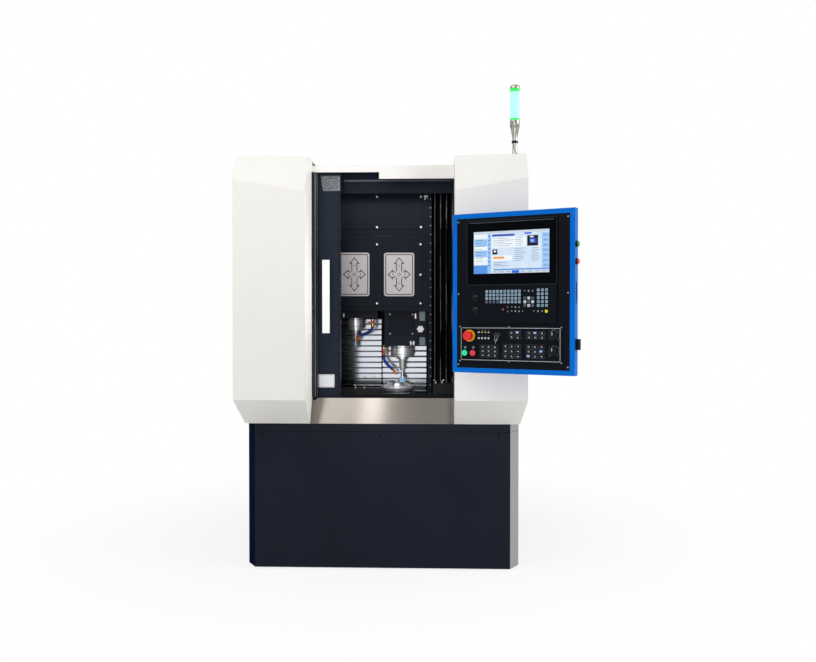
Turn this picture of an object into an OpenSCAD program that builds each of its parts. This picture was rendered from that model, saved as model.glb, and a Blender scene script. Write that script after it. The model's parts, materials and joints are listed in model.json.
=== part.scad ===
// Vertical grinding machine: faceted front enclosure, twin grinding heads on an X saddle, swivelling panel.
// Millimetres. +X is the operator's right, +Y the rear, +Z up. Origin on the floor under the base's middle.

/* [Base] */
// Overall width of the base
base_w = 1296; // [1100:1:1500]
// Overall depth of the base
base_d = 1400; // [1200:1:1700]
// Height of the base's top above the floor
base_top = 690; // [600:1:780]
// Gap between the skirt and the floor
skirt_gap = 8; // [4:1:30]
// Width of the front corner chamfer
base_corner_w = 45; // [20:1:90]
// Depth of the front corner chamfer
base_corner_d = 78; // [40:1:120]
// Height of the band above the front cover
base_band_h = 36; // [20:1:80]
// Open joint between front cover and band
seam_gap = 2; // [1:0.5:5]
// Wall of the base frame
base_wall = 20; // [8:1:40]
// Thickness of the base deck
base_deck_t = 30; // [15:1:60]
// Sheet of the base front cover
base_cover_t = 3; // [1.5:0.5:6]
// Distance of a foot's middle from the base's side
foot_inset_x = 108; // [80:1:200]
// Distance of a foot's middle from the base's front or rear
foot_inset_y = 120; // [100:1:200]
// Diameter of a foot's pad
foot_pad_d = 90; // [60:1:110]
// Height of a foot's pad
foot_pad_h = 10; // [8:1:14]
// Diameter of a foot's stud
foot_stud_d = 20; // [12:1:30]
// Height of a foot's nut
foot_nut_h = 12; // [6:1:20]
// Width across a foot's nut
foot_nut_d = 38; // [24:1:50]
// Height of a foot's stud above its pad
foot_stud_h = 70; // [55:1:120]
// Width of the cross members that carry the feet
cross_w = 120; // [80:1:160]
// Thickness of the cross members
cross_t = 20; // [10:1:30]
// Distance of an anchor hole from its foot's middle
anchor_step = 90; // [65:1:200]
// Diameter of an anchor hole
anchor_hole_d = 22; // [14:1:30]

/* [Bed and column] */
// Width of the machine bed
bed_w = 900; // [700:5:1100]
// How far the bed reaches past the pods' rear edge
bed_lead = 20; // [5:1:30]
// Distance of the bed's rear from the base's rear
bed_rear_gap = 60; // [30:1:120]
// Thickness of the machine bed
bed_h = 40; // [20:1:60]
// Width of the column
col_w = 880; // [700:5:960]
// Depth of the saddle
saddle_d = 345; // [330:1:380]
// Distance of the column's rear from the base's rear
col_rear_gap = 140; // [80:1:240]
// Height of the column above the saddle's upper edge
col_cap = 25; // [10:1:80]
// Side wall of the column
col_wall = 40; // [20:1:80]
// Front plate of the column
col_face_t = 60; // [30:1:100]
// Thickness of the plates that hold the bellows' outer ends
end_plate_t = 15; // [8:1:25]
// Height of the bellows and their end plates above the bed
end_plate_lift = 60; // [40:1:120]
// Width of an X rail
x_rail_w = 45; // [30:1:65]
// Height of an X rail above the column
x_rail_d = 36; // [24:1:50]
// Height of the lower X rail above the bed
x_rail_rise = 270; // [150:1:400]
// Distance of the upper X rail from the saddle's upper edge
x_rail_drop = 235; // [100:1:400]
// Distance of an X rail's end from the column's edge
x_rail_end = 10; // [5:1:40]

/* [Front pods] */
// How far the pods stand out past the base's sides
pod_side = 21; // [5:1:60]
// Half of the opening between the pods
opening_half = 340; // [280:1:400]
// How far the pods stand out in front of the base
pod_nose = 165; // [60:1:240]
// Depth of the pods
pod_d = 385; // [372:1:420]
// How far the pods stand above the roof
pod_rise = 3; // [0:1:20]
// Height of the upper facet at the outer edge
facet_h = 123; // [60:1:200]
// How far the upper crease falls towards the opening
crease_fall = 56; // [10:1:100]
// How far the upper facet leans back per height
facet_slope_share = 0.772; // [0.4:0.001:1.2]
// Height of the lower facet
undercut_h = 125; // [60:1:200]
// Sheet of the pods
pod_t = 4; // [2:0.5:8]
// Depth of the pods' inner walls
jamb_d = 253; // [240:1:265]
// Width of the pods' rear flange
pod_flange_w = 34; // [25:1:60]

/* [Enclosure] */
// Height of the roof's top above the column
roof_gap = 80; // [40:1:160]
// Sheet of the rear enclosure
sheet_t = 3; // [1.5:0.5:6]
// Width of the sheet flanges
flange_w = 28; // [15:1:50]
// How far the header stands behind the pods' front
header_recess = 240; // [200:1:250]
// Distance of the header's top from the pods' top
header_drop = 27; // [10:1:60]
// Height of the header's front web
header_h = 63; // [40:1:90]
// Sheet of the header
header_t = 4; // [2:0.5:8]
// Length of the header's notch from the left pod
notch_l = 322; // [100:1:400]
// Height of the header's notch
notch_h = 32; // [15:1:45]
// Height of the inner door beam
beam_h = 116; // [70:1:160]
// Thickness of the inner door beam
beam_t = 18; // [8:1:24]
// Height of the sill above the base
sill_h = 115; // [60:1:160]
// Sheet of the sill
sill_t = 3; // [1.5:0.5:6]
// Distance of the sill's rear from the pods' front
sill_reach = 347; // [340:1:353]

/* [Door] */
// Thickness of a door leaf
leaf_t = 26; // [18:1:32]
// Distance of the leading leaf's front from the pods' front
door_recess = 267; // [260:1:275]
// Distance between the fronts of the two leaves
leaf_pitch = 38; // [34:1:42]
// Gap between the parked leading leaf and the pod's outside
park_gap = 52; // [20:1:90]
// Gap between the parked trailing leaf and the pod's outside
trail_park_gap = 23; // [10:1:60]
// How far the open leading leaf shows in the opening
lead_show = 134; // [90:1:180]
// How far the open trailing leaf shows in the opening
trail_show = 28; // [10:1:60]
// Gap under and over the leaves
leaf_gap = 2; // [1:0.5:4]
// Width of the guide ribs of header and sill
guide_w = 6; // [4:0.5:10]
// Height of the guide ribs
guide_h = 14; // [8:1:20]
// Gap between a rib and its groove
guide_gap = 0.3; // [0.2:0.05:1]
// Width of the window in the leading leaf
window_w = 240; // [150:1:260]
// Height of the window
window_h = 650; // [400:1:800]
// Distance of the window from the leaf's lower edge
window_rise = 233; // [100:1:300]
// Distance of the window from the leaf's trailing edge
window_inset = 34; // [25:1:60]
// Overlap of the pane over the opening
pane_lap = 12; // [6:1:20]
// Thickness of the pane
pane_t = 8; // [5:0.5:10]
// Distance of the handle from the leading edge
handle_inset = 66; // [45:1:90]
// Width of the handle
handle_w = 34; // [20:1:45]
// Thickness of the handle's bar
handle_t = 14; // [8:1:20]
// Length of the handle
handle_l = 350; // [250:1:450]
// Distance of the handle from the leaf's lower edge
handle_rise = 309; // [150:1:450]
// Clear space behind the handle
handle_reach = 30; // [22:1:40]
// Diameter of the handle's posts
handle_post_d = 16; // [10:1:24]
// Distance of the posts from the handle's ends
handle_post_inset = 40; // [20:1:80]

/* [Saddle] */
// Middle of the saddle across the machine
saddle_x = -47; // [-80:1:40]
// Width of the saddle
saddle_w = 556; // [480:1:600]
// Thickness of the saddle's plate
saddle_t = 60; // [40:1:80]
// Gap between the saddle and the X rails
saddle_gap = 4; // [2:0.5:6]
// Distance of the saddle's front behind the pods' rear edge
saddle_set = 135; // [110:1:160]
// Gap between the saddle and the bed
saddle_lift = 45; // [30:1:90]
// Height of the saddle above the heads' upper face
head_room = 335; // [260:1:400]
// Width of the saddle's edge strips
strip_w = 20; // [12:1:30]
// Length of a guide carriage
carriage_l = 90; // [60:1:130]
// Width of a guide carriage beyond its rail on each side
carriage_rim = 20; // [12:1:30]
// Gap between a carriage and the face its rail stands on
carriage_lift = 6; // [3:0.5:10]
// Running gap of rails, ribs and faces
slide_gap = 0.3; // [0.2:0.05:0.6]
// Sheet of the covers
cover_t = 3; // [1.5:0.5:6]
// Height of the head cover
head_cover_h = 379; // [300:1:400]
// Open joint between the two covers
cover_seam = 11; // [2:1:20]
// Height of the upper cover
upper_cover_h = 221; // [150:1:260]
// How far the upper cover is set back
upper_cover_back = 12; // [5:1:25]
// Width of a Z rail
z_rail_w = 30; // [20:1:45]
// Height of a Z rail above the saddle
z_rail_d = 34; // [24:1:45]
// Distance between the two rails of a head
z_rail_span = 150; // [120:1:170]
// Distance of the rails' ends from the saddle's edges
z_rail_end = 20; // [10:1:40]
// How far the left slats start inside their head's left side
left_slats_in = 2; // [0:1:20]
// How far the left slats reach past their head's right side
left_slats_out = 8; // [0:1:10]
// How far the right slats reach past their head's left side
right_slats_out = 22; // [10:1:24]
// How far the right slats end inside their head's right side
right_slats_in = 8; // [0:1:20]
// Height of one slat
slat_pitch = 28.9; // [20:0.1:40]
// Depth of a slat's step
slat_step = 8; // [4:0.5:12]
// Thickness of a slat
slat_t = 5; // [3:0.5:8]
// Gap between the slat covers and the Z rails
slat_gap = 8; // [5:0.5:12]

/* [Heads] */
// Gap between the saddle's left edge and the left head
left_head_inset = 45; // [30:1:60]
// Width of the left head as a share of the saddle's
left_head_share = 0.4173; // [0.35:0.0001:0.43]
// Height of the left spindle's nose
left_nose_h = 52; // [30:1:80]
// Gap between the saddle's right edge and the right head
right_head_inset = 23; // [22:1:40]
// Width of the right head as a share of the saddle's
right_head_share = 0.3957; // [0.35:0.0001:0.41]
// Height of the right spindle's nose
right_nose_h = 55; // [30:1:80]
// Height of the right head
right_head_h = 456; // [430:1:520]
// How far the heads' front is set behind the saddle's
head_set = 49; // [45:1:70]
// Gap between the heads' rear and the Z rails
head_gap = 10; // [5:1:15]
// Distance of the lower carriage from the head's top
carriage_low = 220; // [180:1:222]
// Distance of the upper carriage from the head's top
carriage_high = 30; // [10:1:60]
// Running gap of a turning shaft in its bore
shaft_gap = 0.05; // [0.02:0.01:0.1]
// Offset of the left spindle from its head's middle
left_spindle_shift = -5; // [-20:1:10]
// Offset of the right spindle from its head's middle
right_spindle_shift = -21; // [-35:1:0]
// Height of the right spindle's nose over the chuck's face
right_reach = 152; // [150:1:200]
// Diameter of the right spindle's nose
right_nose_d = 123; // [90:1:140]
// Diameter of the right spindle's barrel
right_barrel_d = 104; // [70:1:110]
// Height of the right barrel in its head
right_barrel_h = 206; // [150:1:350]
// Diameter of the right quill's shaft
right_shaft_d = 50; // [30:1:60]
// Diameter of the right quill's collar
right_collar_d = 64; // [55:1:90]
// Height of the right quill's collar
right_collar_h = 14; // [8:1:25]
// Diameters of the right quill's cone, top then tip
right_cone_d = [42, 26]; // [8:1:60]
// Distance of the right cone's tip below the nose
right_cone_drop = 74; // [50:1:90]
// Diameter of the right arbor
right_arbor_d = 12; // [6:1:20]
// Distance of the right wheel's upper face below the nose
right_wheel_drop = 110; // [95:1:112]
// Height of the right wheel
right_wheel_h = 26; // [15:1:27]
// Diameter of the right wheel
right_wheel_d = 36; // [24:1:60]
// Height of the left spindle's nose over the chuck's face
left_reach = 298; // [180:1:340]
// Diameter of the left spindle's nose
left_nose_d = 78; // [60:1:120]
// Diameter of the left spindle's barrel
left_barrel_d = 70; // [40:1:76]
// Height of the left barrel in its head
left_barrel_h = 193; // [120:1:260]
// Diameter of the left quill's shaft
left_shaft_d = 30; // [20:1:40]
// Diameter of the left quill's collar
left_collar_d = 66; // [45:1:80]
// Height of the left quill's collar
left_collar_h = 10; // [6:1:16]
// Diameters of the left quill's cone, top then tip
left_cone_d = [34, 22]; // [8:1:50]
// Distance of the left cone's tip below the nose
left_cone_drop = 47; // [30:1:65]
// Diameter of the left arbor
left_arbor_d = 8; // [5:0.5:14]
// Distance of the left wheel's upper face below the nose
left_wheel_drop = 78; // [70:1:90]
// Height of the left wheel
left_wheel_h = 18; // [10:1:30]
// Diameter of the left wheel
left_wheel_d = 21; // [14:1:50]
// Diameter of the shoulder over a wheel as a share of the wheel
shoulder_share = 0.6; // [0.55:0.01:0.8]
// Height of the shoulder over a wheel
shoulder_h = 5; // [3:0.5:10]
// Distance a shaft stays short of its bore's end
shaft_short = 10; // [4:1:30]

/* [Coolant] */
// Distance of the right valve outside its head's left side
right_valve_out = 6; // [0:1:10]
// Distance of the left valve inside its head's right side
left_valve_in = 28; // [24:1:60]
// Distance of the valves in front of the spindles
valve_step = 52; // [40:1:55]
// Width of a valve's mounting plate
valve_plate_w = 44; // [30:1:46]
// Offset of the right valve's plate towards its head
valve_plate_shift = 10; // [0:1:14]
// Depth of a valve's mounting plate
valve_plate_d = 30; // [20:1:40]
// Thickness of a valve's mounting plate
valve_plate_t = 6; // [3:0.5:10]
// Diameter of a valve's body
valve_d = 20; // [12:1:26]
// Height of a valve's body
valve_h = 32; // [24:1:45]
// Diameter of a valve's bonnet
bonnet_d = 14; // [8:1:18]
// Distance of the bonnet's front from the valve's axis
bonnet_l = 18; // [12:1:24]
// Diameter of a lever's stem
lever_stem_d = 6; // [4:0.5:8]
// Diameter of a lever's hub
lever_hub_d = 14; // [8:1:18]
// Thickness of a lever
lever_t = 4; // [2:0.5:6]
// Length of a lever
lever_l = 26; // [18:1:30]
// Width of a lever
lever_w = 7; // [4:0.5:10]
// Directions of the levers as they stand, left then right, from straight down
lever_turn = [90, 0]; // [0:5:90]
// Diameter of a hose
hose_d = 14; // [8:1:20]
// Diameter of a ball between two lengths of hose
hose_ball_d = 17; // [10:1:22]
// Diameter of the ring at a hose's start
hose_ring_d = 19; // [12:1:24]
// Height of the ring at a hose's start
hose_ring_h = 8; // [4:1:14]
// Diameter of a nozzle's tip
nozzle_tip_d = 7; // [4:0.5:10]
// Points of the right hose from its valve's mouth to the nozzle's start
right_hose_path = [[0, 0, -4], [2, 4, -34], [20, 14, -62], [46, 26, -86]]; // [-120:1:120]
// End of the right nozzle
right_nozzle_tip = [64, 34, -112]; // [-120:1:120]
// Points of the left hose from its valve's mouth to the nozzle's start
left_hose_path = [[0, 0, -4], [-6, 3, -24], [-40, 14, -44], [-74, 25, -53]]; // [-120:1:120]
// End of the left nozzle
left_nozzle_tip = [-85, 32, -82]; // [-120:1:120]

/* [Clamp knob] */
// Distance of the clamp knob inside the right head's right side
knob_in = 35; // [28:1:60]
// Height of the clamp knob over the right head's lower face
knob_rise = 87; // [45:1:140]
// Width of the clamp knob's bracket
knob_plate_w = 56; // [40:1:60]
// Height of the clamp knob's bracket
knob_plate_h = 78; // [50:1:90]
// Thickness of the clamp knob's bracket
knob_plate_t = 12; // [8:1:16]
// Diameter of the clamp knob
clamp_knob_d = 36; // [24:1:44]
// Thickness of the clamp knob
clamp_knob_t = 14; // [8:1:18]
// Diameter of a lobe of the clamp knob
lobe_d = 12; // [8:1:16]
// Number of lobes of the clamp knob
lobe_count = 6; // [3:1:8]
// Diameter of the clamp knob's screw
clamp_screw_d = 10; // [6:1:14]

/* [Work spindle] */
// Position of the work spindle across the machine
work_x = 51; // [30:1:70]
// Distance of all spindles behind the saddle's front
spindle_set = 125; // [105:1:140]
// Width of the workhead's foot
workhead_w = 220; // [180:1:230]
// Height of the workhead's foot
workhead_foot_h = 20; // [12:1:30]
// Diameter of the workhead
workhead_d = 180; // [150:1:190]
// Height of the workhead above the bed
workhead_h = 50; // [40:1:70]
// Diameter of the work spindle's shaft
work_shaft_d = 90; // [60:1:110]
// Diameter of the chuck's lower disc
chuck_low_d = 140; // [110:1:160]
// Height of the chuck's lower disc
chuck_low_h = 32; // [20:1:40]
// Diameter of the chuck
chuck_d = 176; // [150:1:184]
// Height of the chuck's upper disc
chuck_h = 25; // [18:1:28]
// Chamfer of the chuck's lower rim
chuck_rim = 12; // [4:1:16]
// Width of a chuck jaw
jaw_w = 24; // [16:1:30]
// Depth of a jaw's slot
jaw_slot_d = 9; // [6:0.5:12]
// Radius where a jaw's slot starts
jaw_slot_r = 22; // [16:1:28]
// Radius of a jaw's inner end
jaw_in_r = 32; // [28:1:40]
// Radius of a jaw's outer end
jaw_out_r = 78; // [60:1:82]
// Radius where a jaw's step ends
jaw_step_r = 58; // [45:1:60]
// Height of a jaw above the chuck's face
jaw_h = 12; // [6:0.5:13]
// Height of a jaw's base above the chuck's face
jaw_base_h = 3; // [1:0.5:5]
// Directions of the jaws
jaw_angles = [-90, 30, 150]; // [-180:5:180]

/* [Bed covers] */
// Distance of the left bed cover from the bed's side
left_bed_inset = 30; // [0:1:80]
// Distance of the left bed cover from the work spindle
left_bed_gap = 65; // [40:1:110]
// Distance of the right bed cover from the work spindle
right_bed_gap = 187; // [120:1:220]
// Distance of the right bed cover from the bed's side
right_bed_inset = 20; // [0:1:80]
// Height of the left bed cover
left_bed_h = 106; // [80:1:130]
// Height of the right bed cover
right_bed_h = 131; // [90:1:150]
// Height of the bed covers' front edge
bed_lip_h = 60; // [40:1:70]
// Gap between the bed covers and the saddle's front
bed_cover_gap = 17; // [10:1:35]
// Depth of the bed covers' slope as a share of the covers'
bed_slope_share = 0.44; // [0.2:0.01:0.65]

/* [Bellows] */
// Depth of a bellows fold
fold_d = 44; // [25:1:60]
// How far the bellows' front is set behind the saddle's
bellows_set = 13; // [5:1:30]
// Thickness of the bellows' cloth
bellows_t = 4; // [2:0.5:6]
// Folds of the left bellows
left_folds = 7; // [4:1:12]
// Folds of the right bellows
right_folds = 7; // [4:1:14]
// Gap between the bellows and the saddle's and plates' ends
bellows_gap = 0.3; // [0.1:0.1:1]

/* [Tower light] */
// Distance of the tower light from the right pod's outside
light_inset_x = 41; // [30:1:110]
// Distance of the tower light from the pods' front
light_inset_y = 250; // [200:1:320]
// Diameter of the foot
light_foot_d = 52; // [40:1:70]
// Height of the foot
light_foot_h = 22; // [10:1:40]
// Diameter of the tube
light_tube_d = 22; // [14:1:30]
// Height of the tube above the foot
light_tube_h = 56; // [30:1:120]
// Diameter of the lens
light_lens_d = 48; // [35:1:70]
// Height of the taper under the lens
light_taper_h = 105; // [60:1:140]
// Height of the lens
light_lens_h = 153; // [90:1:200]
// Height of the cap
light_cap_h = 18; // [8:1:40]

/* [Control panel] */
// Turn of the panel about its upright axis
panel_yaw = 27.6; // [0:0.1:45]
// Middle of the panel's front face, from the right pod's front edge at the base's top
panel_offset = [-99.5, -314, 604.5]; // [-500:0.5:1200]
// Width of the panel
panel_w = 546; // [480:1:600]
// Height of the panel
panel_h = 675; // [560:1:720]
// Depth of the panel's front frame
panel_rim_d = 36; // [24:1:50]
// Depth of the whole panel
panel_d = 110; // [80:1:150]
// How far the rear box is set in from the front frame
panel_step = 40; // [20:1:60]
// Sheet of the panel
panel_t = 3; // [1.5:0.5:5]
// Visible width of the front frame
panel_border = 21; // [14:1:40]
// Thickness of the front plate
plate_t = 3; // [2:0.5:5]
// Ledge behind the front plate
plate_ledge = 8; // [5:1:14]
// Gap round the front plate
plate_gap = 0.3; // [0.1:0.1:1]
// Middle of the controller on the panel
bezel_at = [-1, 89]; // [-300:1:300]
// Width of the controller
bezel_w = 402; // [340:1:440]
// Height of the controller
bezel_h = 430; // [340:1:440]
// Thickness of the controller
bezel_t = 8; // [4:0.5:14]
// Middle of the screen on the panel
screen_at = [-1, 169]; // [-300:1:300]
// Width of the screen
screen_w = 338; // [280:1:360]
// Height of the screen
screen_h = 176; // [150:1:220]
// Depth of the screen behind the controller's face
screen_d = 1.5; // [0.5:0.5:4]
// Middle of the machine control plate on the panel
control_at = [-8, -214]; // [-300:1:300]
// Width of the machine control plate
control_w = 466; // [400:1:480]
// Height of the machine control plate
control_h = 156; // [120:1:170]
// Thickness of the machine control plate
control_t = 4; // [2:0.5:8]
// Key fields: left, right, lower and upper edge
key_fields = [[-142, -57, -271, -217], [-37, 46, -274, -212], [-10, 45, -194, -156], [66, 152, -193, -158],
    [66, 149, -272, -213], [-151, -96, -195, -158]]; // [-300:1:300]
// Height of the key fields
key_h = 2.5; // [1:0.5:5]
// Middle of the emergency stop
estop_at = [-189, -180]; // [-300:1:300]
// Diameter of the emergency stop's head
estop_d = 40; // [30:1:50]
// Thickness of the emergency stop's head
estop_t = 16; // [10:1:24]
// Diameter of the emergency stop's collar
estop_collar_d = 50; // [42:1:60]
// Height of the emergency stop's collar
estop_collar_h = 8; // [4:0.5:14]
// Travel of the emergency stop
estop_travel = 4; // [2:0.5:6]
// Diameter of the emergency stop's stem
estop_stem_d = 16; // [10:1:20]
// Middle of the start button
start_at = [-211, -253]; // [-300:1:300]
// Middle of the stop button
stop_at = [-173, -253]; // [-300:1:300]
// Diameter of a push button's cap
button_d = 24; // [16:1:30]
// Thickness of a push button's cap
button_t = 7; // [4:0.5:12]
// Travel of a push button
button_travel = 3; // [1.5:0.5:5]
// Rim of a push button's ring
ring_rim = 2.5; // [1.5:0.5:5]
// Height of a push button's ring
ring_h = 6; // [3:0.5:10]
// Diameter of a push button's stem
button_stem_d = 10; // [6:1:14]
// Middle of the key switch
key_at = [-62, -183]; // [-300:1:300]
// Diameter of the key switch's rotor
rotor_d = 20; // [14:1:26]
// Thickness of the key switch's rotor
rotor_t = 5; // [3:0.5:8]
// Diameter of the key switch's barrel
barrel_d = 14; // [8:1:18]
// Length of the key's bow
key_l = 22; // [12:1:30]
// Width of the key's bow
key_w = 18; // [10:1:24]
// Thickness of the key's bow
key_t = 3; // [2:0.5:4]
// Middle of the feed override knob
feed_at = [187, -176]; // [-300:1:300]
// Middle of the spindle override knob
speed_at = [186, -241]; // [-300:1:300]
// Diameter of an override knob
dial_d = 36; // [26:1:46]
// Thickness of an override knob
dial_t = 18; // [10:1:26]
// Diameter of an override knob's shaft
dial_shaft_d = 8; // [5:0.5:12]
// Reach of the pointer rib from the knob's axis, upper then lower, as shares of its diameter
dial_rib_shares = [0.45, 0.33]; // [0.2:0.01:0.48]
// Width of an override knob's pointer rib
dial_rib_w = 8; // [4:0.5:12]
// Height of an override knob's pointer rib
dial_rib_h = 5; // [3:0.5:8]
// How far stems reach behind the machine control plate
stem_reach = 9; // [7:0.5:20]
// Free hole round a stem in the front plate
stem_room = 2; // [1:0.5:4]
// Heights of the side buttons from the panel's middle, start then stop
side_button_z = [193, 123]; // [-300:1:300]
// Diameter of a side button's collar
side_collar_d = 25; // [20:1:30]
// Height of a side button's collar
side_collar_h = 6; // [4:0.5:10]
// Diameter of a side button's cap
side_cap_d = 19; // [14:1:22]
// Height of a side button's cap
side_cap_t = 8; // [5:0.5:12]
// Upper and lower end of the slot in the panel's side
side_slot_z = [-45, 38]; // [-300:1:300]
// Width of the slot in the panel's side
side_slot_w = 12; // [6:1:20]
// Upper and lower end of the port block on the panel's side
port_z = [-233, -189]; // [-300:1:300]
// Depth of the port block
port_d = 16; // [8:1:24]
// Width of the port block
port_w = 20; // [12:1:28]

/* [Panel arm] */
// Pivot of the arm at the pod, from the pod's front edge
arm_offset = [-69, -60]; // [-300:1:0]
// Distance of the panel's pivot behind its front face
pivot_back = 180; // [160:1:220]
// Height of the arm's hubs
hub_h = 80; // [50:1:120]
// Diameter of the arm's hubs
hub_d = 56; // [40:1:70]
// Width of the arm
arm_w = 44; // [30:1:54]
// Height of the arm between its hubs
arm_h = 60; // [40:1:78]
// Diameter of the pivot pins
pin_d = 24; // [14:1:30]
// Thickness of the lugs
lug_t = 12; // [8:1:20]
// Width of the lugs
lug_w = 70; // [50:1:90]
// Thickness of the bracket's plate
bracket_t = 10; // [6:1:16]
// Width of the bracket's plate
bracket_w = 110; // [80:1:130]
// Height of the bracket's plate
bracket_h = 170; // [130:1:220]
// How far the pins stand out of the lugs
pin_head = 2; // [1:0.5:6]

/* [Hidden] */
$fn = 64;
over = 1;
bx = base_w / 2;
by = base_d / 2;
pod_front = by + pod_nose;
pod_back = pod_front - pod_d;
saddle_front = pod_back - saddle_set;
col_front = -saddle_front + saddle_d + saddle_gap + x_rail_d;
col_d = by - col_front - col_rear_gap;
work_y = saddle_front - spindle_set;
seam_z = base_top - base_band_h;
corner_len = sqrt(base_corner_w * base_corner_w + base_corner_d * base_corner_d);
corner_in_y = base_corner_d + base_cover_t * corner_len / base_corner_w;
corner_in_x = base_corner_w + base_cover_t * (corner_len - base_corner_w) / base_corner_d;
foot_spacing_x = base_w - 2 * foot_inset_x;
foot_spacing_y = base_d - 2 * foot_inset_y;
anchor_spacing_x = foot_spacing_x - 2 * anchor_step;
cross_z = foot_pad_h;
bed_top = base_top + bed_h;
bed_x = bed_w / 2;
bed_back = by - bed_rear_gap;
chuck_bottom = bed_top + workhead_h;
chuck_face = chuck_bottom + chuck_low_h + chuck_h;
right_nose_z = chuck_face + right_reach;
right_head_bottom = right_nose_z + right_nose_h;
right_barrel_top = right_head_bottom + right_barrel_h;
right_cone_tip = right_nose_z - right_cone_drop;
right_wheel_top = right_nose_z - right_wheel_drop;
left_nose_z = chuck_face + left_reach;
left_head_bottom = left_nose_z + left_nose_h;
left_barrel_top = left_head_bottom + left_barrel_h;
left_cone_tip = left_nose_z - left_cone_drop;
left_wheel_top = left_nose_z - left_wheel_drop;
head_top = right_head_bottom + right_head_h;
knob_z = right_head_bottom + knob_rise;
saddle_bottom = bed_top + saddle_lift;
saddle_top = head_top + head_room;
upper_cover_bottom = saddle_top - upper_cover_h;
head_cover_top = upper_cover_bottom - cover_seam;
head_cover_bottom = head_cover_top - head_cover_h;
col_top = saddle_top + col_cap;
col_x = col_w / 2;
x_rail_low = bed_top + x_rail_rise;
x_rail_high = saddle_top - x_rail_drop;
end_plate_bottom = bed_top + end_plate_lift;
end_plate_top = saddle_top;
rail_front = col_front - x_rail_d;
saddle_back = rail_front - saddle_gap;
saddle_face = saddle_back - saddle_t;
saddle_l = saddle_x - saddle_w / 2;
saddle_r = saddle_x + saddle_w / 2;
z_rail_front = saddle_face - z_rail_d;
head_back = z_rail_front - head_gap;
head_front = saddle_front - head_set;
slat_back = z_rail_front - slat_gap;
left_head_w = saddle_w * left_head_share;
right_head_w = saddle_w * right_head_share;
left_head_x = saddle_l + left_head_inset + left_head_w / 2;
right_head_x = saddle_r - right_head_inset - right_head_w / 2;
left_slats_start = left_head_x - left_head_w / 2 + left_slats_in;
left_slats_end = left_head_x + left_head_w / 2 + left_slats_out;
right_slats_start = right_head_x - right_head_w / 2 - right_slats_out;
right_slats_end = right_head_x + right_head_w / 2 - right_slats_in;
left_spindle_x = left_head_x + left_spindle_shift;
right_spindle_x = right_head_x + right_spindle_shift;
left_valve_x = left_head_x + left_head_w / 2 - left_valve_in;
right_valve_x = right_head_x - right_head_w / 2 - right_valve_out;
valve_y = work_y + valve_step;
knob_x = right_head_x + right_head_w / 2 - knob_in;
bellows_front = saddle_front - bellows_set;
roof_top = col_top + roof_gap;
pod_top = roof_top + pod_rise;
reach = 3 * pod_top;
pod_out = bx + pod_side;
crease_out = pod_top - facet_h;
crease_in = crease_out - crease_fall;
lower_crease = base_top + undercut_h;
bed_front = pod_back + bed_lead;
bed_cover_back = saddle_front + bed_cover_gap;
bed_lip = bed_top + bed_lip_h;
header_top = pod_top - header_drop;
header_front = -pod_front + header_recess;
beam_bottom = header_top - beam_h;
beam_back = pod_back + pod_t;
sill_top = base_top + sill_h;
sill_back = pod_front - sill_reach;
jamb_end = -pod_front + jamb_d;
leaf_bottom = sill_top + leaf_gap;
leaf_top = header_top - header_t - leaf_gap;
lead_front = pod_front - door_recess;
trail_front = lead_front - leaf_pitch;
lead_edge = -opening_half + lead_show;
lead_w = pod_out - opening_half + lead_show - park_gap;
trail_edge = -opening_half + trail_show;
trail_w = pod_out - opening_half + trail_show - trail_park_gap;
window_l = lead_edge - lead_w + window_inset;
window_bottom = leaf_bottom + window_rise;
handle_x = lead_edge - handle_inset;
handle_bottom = leaf_bottom + handle_rise;
rim_x = panel_w / 2;
rim_z = panel_h / 2;
box_x = rim_x - panel_step;
box_z = rim_z - panel_step;
plate_w = panel_w - 2 * panel_border;
plate_h = panel_h - 2 * panel_border;
panel_at = [pod_out + panel_offset[0], -pod_front + panel_offset[1], base_top + panel_offset[2]];
panel_pivot = [panel_at[0] + pivot_back * sin(panel_yaw), panel_at[1] + pivot_back * cos(panel_yaw)];
arm_at = [pod_out + arm_offset[0], -pod_front + arm_offset[1]];
arm_l = norm(panel_pivot - arm_at);
arm_angle = atan2(panel_pivot[1] - arm_at[1], panel_pivot[0] - arm_at[0]);
hub_top = hub_h / 2;
lug_low = hub_top + slide_gap;
lug_high = lug_low + lug_t;
control_face = -control_t;
light_x = pod_out - light_inset_x;
light_y = pod_front - light_inset_y;
light_base = pod_top + light_foot_h + light_tube_h;
lens_base = light_base + light_taper_h;

white = [0.92, 0.91, 0.89];
navy = [0.1, 0.12, 0.16];
dark = [0.12, 0.13, 0.15];
grey = [0.45, 0.47, 0.5];
steel = [0.75, 0.76, 0.78];
black = [0.05, 0.05, 0.06];
blue = [0.02, 0.28, 0.66];
red = [0.8, 0.08, 0.06];
green = [0.1, 0.75, 0.4];
brass = [0.72, 0.55, 0.25];
wheel_blue = [0.67, 0.8, 0.94];
glass = [0.6, 0.7, 0.75, 0.4];

// Shared helpers
module box(x0, x1, y0, y1, z0, z1) {
    translate([x0, y0, z0]) cube([x1 - x0, y1 - y0, z1 - z0]);
}

module post(d, z0, z1) {
    translate([0, 0, z0]) cylinder(d = d, h = z1 - z0);
}

// Round bar along Y between two places
module bar_y(d, y0, y1) {
    translate([0, y0, 0]) rotate([-90, 0, 0]) cylinder(d = d, h = y1 - y0);
}

// Round bar along X between two places
module bar_x(d, x0, x1) {
    translate([x0, 0, 0]) rotate([0, 90, 0]) cylinder(d = d, h = x1 - x0);
}

// Profile in Y and Z drawn out along X
module along_x(x0, x1, points) {
    translate([x0, 0, 0]) rotate([90, 0, 90]) linear_extrude(x1 - x0) polygon(points);
}

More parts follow.
